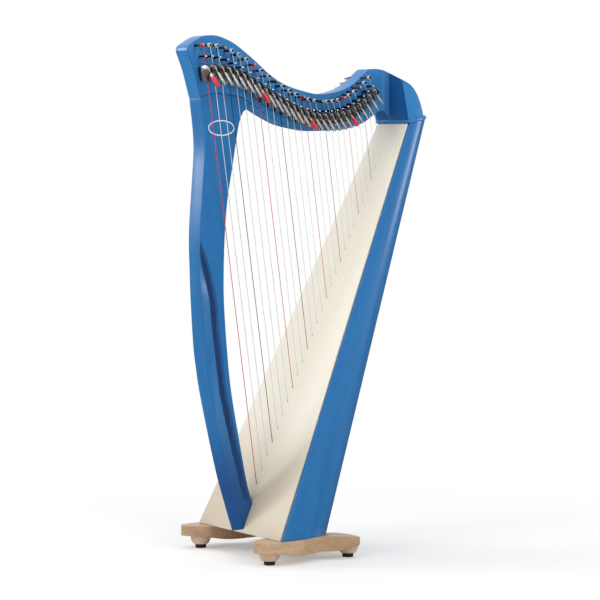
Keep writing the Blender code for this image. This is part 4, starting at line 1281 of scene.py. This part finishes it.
def hub_outline(hub_r, lobe_r, reach, half):
    points = []
    for a in range(-84, -367, -12):
        swell = math.exp(-((a + 270) / 16.0) ** 2)
        r = hub_r + (lobe_r - hub_r) * swell
        points.append((r * math.sin(math.radians(a)), r * math.cos(math.radians(a))))
    return points + [along_handle(*p) for p in ((8, half), (reach, half), (reach, -half), (8, -half))]


def grip_plate(start, half_wide, swell):
    """The flat finger grip from a run along the handle to its rounded end."""
    outline = [(start, 2.1), (30, 2.4), (38, 2.3), (40.2, 1.8), (41, 0.6),
               (41, -0.6), (40.2, -1.8), (38, -2.3), (30, -2.4), (start, -2.1)]
    mesh = shape_mesh(plate([along_handle(a, b * swell) for a, b in outline], -half_wide, half_wide, 0.9, 3))
    mesh.transform(SIDE_ON)
    return mesh


def make_levers():
    arm = shape_mesh(plate(hub_outline(4.3, 5.1, 23.0, 1.55), -2.0, 2.0, 0.45, 2))
    arm.transform(SIDE_ON)
    metal_grip, red_grip = grip_plate(11.0, 2.7, 1.0), grip_plate(18.0, 3.5, 1.5)
    for i in range(STRINGS):
        scaled = lever_place(i)[0] @ Matrix.Scale(lever_size(i), 4)
        name = "lever_%02d" % (i + 1)
        # The arm takes the darker nickel: painted shade among the bracket cheeks
        piece(name + "_arm", gather([(arm, scaled)]), nickel_painted_shade, body=name, cad=(name,))
        piece(name + "_grip", gather([(metal_grip, scaled)]), nickel, body=name)
        if i % 7 == 0:
            over = scaled @ Matrix.Scale(1.001, 4)
            piece(name + "_sleeve", gather([(red_grip, over)]), red_sleeve, body=name)


make_levers()
print("levers:", STRINGS, "hanging", REST_ANGLE, "degrees down")

# %% [markdown]
# ## Brackets
# Each lever sits in a folded strip of plated steel with two cheeks, screwed to the neck over a
# black spacer that lifts it to the string's height. The outline of a cheek is cut as a plate, and
# a rivet carries the hinge.

# %% Brackets
SPACER_T = 11.0
CHEEK_OUTER, CHEEK_INNER, EAR_R = 6.4, 4.9, 8.0


def cheek_outline(base):
    """Side view of a cheek: low foot below, high round ear about the hinge."""
    ear = [math.radians(a - 110) for a in range(40, 201, 20)]
    return ([(-24, base + 0.2), (-24, -8.4), (-22.6, -6.5), (-10.5, -6.5), (-8.5, -4.5), (-8.5, 5.5)]
            + [(-0.6 + EAR_R * math.sin(a), 1.6 + EAR_R * math.cos(a)) for a in ear]
            + [(7.2, 0), (7.2, base + 0.2)])


def rivet():
    end = [(0, CHEEK_OUTER + 0.6), (1.3, CHEEK_OUTER + 0.6), (1.9, CHEEK_OUTER), (1.15, CHEEK_OUTER - 0.1)]
    return lathe(end + [(r, -z) for r, z in end[::-1]], 14)


def make_brackets():
    cheeks, inner, spacers, screws = [], [], [], []
    across = Matrix.Rotation(math.pi / 2, 4, "Y")
    for i in range(STRINGS):
        place, pivot_out = lever_place(i)
        k = lever_size(i)
        squeeze = place @ Matrix.Diagonal((k, k, 1, 1))
        base = SPACER_T - pivot_out
        for low, high, group in ((-CHEEK_OUTER, -CHEEK_INNER, cheeks), (CHEEK_INNER, CHEEK_OUTER, inner)):
            cheek = shape_mesh(plate(cheek_outline(base), low, high, 0.35, 2))
            cheek.transform(SIDE_ON)
            group.append((cheek, squeeze))
        bottom = bmesh.new()
        bmesh.ops.create_cube(bottom, size=1.0)
        bmesh.ops.scale(bottom, verts=bottom.verts, vec=(2 * CHEEK_INNER + 0.4, 31.0, 1.6))
        bmesh.ops.translate(bottom, verts=bottom.verts, vec=(0, -8.4, base + 0.9))
        inner.append((shape_mesh(bottom), squeeze))
        fret = lathe([(0, 4.6), (0.9, 4.6), (0.9, -4.6), (0, -4.6)], 12)
        behind_string = Matrix.Translation((0, -12.0, -PIVOT_ABOVE_STRING - string_radius(i) - 1.6))
        cheeks.append((shape_mesh(fret), squeeze @ behind_string @ across))
        screws.append((shape_mesh(rivet()), squeeze @ across))
        screw = lathe([(0, base + 3.4), (1.4, base + 3.4), (2.6, base + 2.6), (2.6, base + 1.7),
                       (0, base + 1.7)], 16)
        screws.append((shape_mesh(screw), squeeze @ Matrix.Translation((0, -18.0, 0))))
        half = CHEEK_INNER - 0.2
        block = [(-half, -21), (-half, 5), (half, 5), (half, -21)]
        spacers.append((shape_mesh(plate(block, -pivot_out - 0.2, base + 0.2, 0.6, 2)), squeeze))
    # The inner cheeks and floors of the channels, the screws and the rivets take the darker nickel: painted shade
    for name, items, mat in (("lever_brackets", cheeks, nickel), ("bracket_channels", inner, nickel_painted_shade),
                             ("lever_screws", screws, nickel_painted_shade),
                             ("lever_spacers", spacers, black_plastic)):
        piece(name, gather(items), mat)


make_brackets()
print("brackets:", STRINGS, "with two cheeks each")

# %% [markdown]
# ## Rails
# Two beech rails run under the ends of the soundbox. They are flat underneath the box and their
# outer ends swell into paws. The plan is extruded, cut across into strips and then bent to the
# top and bottom lines of the side view, and all long edges are rounded.

# %% Rails
RAIL_TOP_LINE = [(-215, 45), (-17, 45), (8, 43), (33, 39), (45, 37)]
RAIL_UNDER = curve_through([(45, 29), (34, 26.5), (10, 22), (-25, 17), (-60, 15.5), (-95, 15),
                            (-127, 17), (-168, 24), (-190, 25), (-215, 26)], 4)[::-1]
RAIL_OUTER = curve_through([(33, 128), (30, 145), (20, 154), (0, 155), (-25, 150), (-47, 135),
                            (-60, 135), (-85, 144), (-110, 153), (-140, 154.5), (-173, 154),
                            (-192, 149), (-201, 137)], 5)
RAIL_REST = curve_through([(-201, 137), (-199, 128), (-188, 114), (-170, 99), (-156, 95)], 4)[1:] + [(10, 95)]
RAIL_REST += curve_through([(10, 95), (25, 101), (32, 113), (33, 128)], 4)[1:-1]
RAIL_FRONT, RAIL_LENGTH, RAIL_STRIPS = -203, 236, 24


def make_rail(name, side):
    bm = plate([(x, side * y) for x, y in RAIL_OUTER + RAIL_REST], 0.0, 1.0)
    for k in range(1, RAIL_STRIPS):
        geom = bm.verts[:] + bm.edges[:] + bm.faces[:]
        x = RAIL_FRONT + RAIL_LENGTH * k / RAIL_STRIPS
        bmesh.ops.bisect_plane(bm, geom=geom, plane_co=(x, 0, 0), plane_no=(1, 0, 0))
    for v in bm.verts:
        v.co.z = height_on(RAIL_TOP_LINE, v.co.x) if v.co.z > 0.5 else height_on(RAIL_UNDER, v.co.x)
    rim = [e for e in bm.edges if len(e.link_faces) == 2 and e.calc_face_angle() > math.radians(55)]
    rounded(bm, rim, 2.2, 4)
    return piece(name + "_wood", bm, beech, angle=40, cad=(name,))


for rail_name, rail_side in (("rail_near", -1), ("rail_far", 1)):
    rail = make_rail(rail_name, rail_side)
    print(rail_name, [round(d * 1000) for d in rail.dimensions], "mm")

# %% [markdown]
# ## Ball feet and pads
# Under each paw sits a turned beech ball, and a rubber pad keeps it from sliding. Both are spun
# from half profiles.

# %% Ball feet and pads
BALL_R, BALL_Z, PAD_T, PAD_R = 19.5, 21.5, 8.5, 10.8
FEET_X, FEET_Y = (-163.0, 15.5), 125.6


def make_feet():
    for end, x in (("front", FEET_X[0]), ("rear", FEET_X[1])):
        for side, y in (("near", -FEET_Y), ("far", FEET_Y)):
            name = "%s_%s" % (end, side)
            top = height_on(RAIL_UNDER, x) + 1.0
            profile = []
            for k in range(15):
                z = top + (PAD_T - 0.4 - top) * k / 14
                profile.append((math.sqrt(BALL_R ** 2 - (z - BALL_Z) ** 2), z))
            profile = [(0, top)] + profile + [(0, PAD_T - 0.4)]
            place = WORLD @ Matrix.Translation((x, y, 0))
            piece("ball_" + name, lathe(profile, 40), ball_beech, place, cad=("ball_foot_" + name,))
            pad = [(0, PAD_T), (PAD_R - 0.6, PAD_T), (PAD_R, PAD_T - 0.6), (PAD_R - 0.3, 0.5),
                   (PAD_R - 0.8, 0), (0, 0)]
            piece("pad_" + name, lathe(pad, 32), rubber, place, cad=("rubber_pad_" + name,))


make_feet()
print("feet:", 2 * len(FEET_X))

# %% [markdown]
# ## Finish of the inner pieces
# Braces, blocks, linings, bolts and screws keep their solids, because nothing finer shows of them
# through the sound holes. They only get bare wood or plated steel.

# %% Inner pieces
KEPT_WOOD = ("bottom_board", "brace_lower", "brace_middle", "brace_upper", "column_block", "top_block",
             "lining_near", "lining_far", "string_rib")
KEPT_STEEL = ("column_bolt", "neck_bolt_near", "neck_bolt_far", "rail_screw_front_near",
              "rail_screw_front_far", "rail_screw_rear_near", "rail_screw_rear_far")
for kept, mat in ((KEPT_WOOD, inner_wood), (KEPT_STEEL, screw_steel)):
    for name in kept:
        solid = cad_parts[name]
        solid.data.materials.clear()
        solid.data.materials.append(mat)
print("kept solids:", len(KEPT_WOOD) + len(KEPT_STEEL))
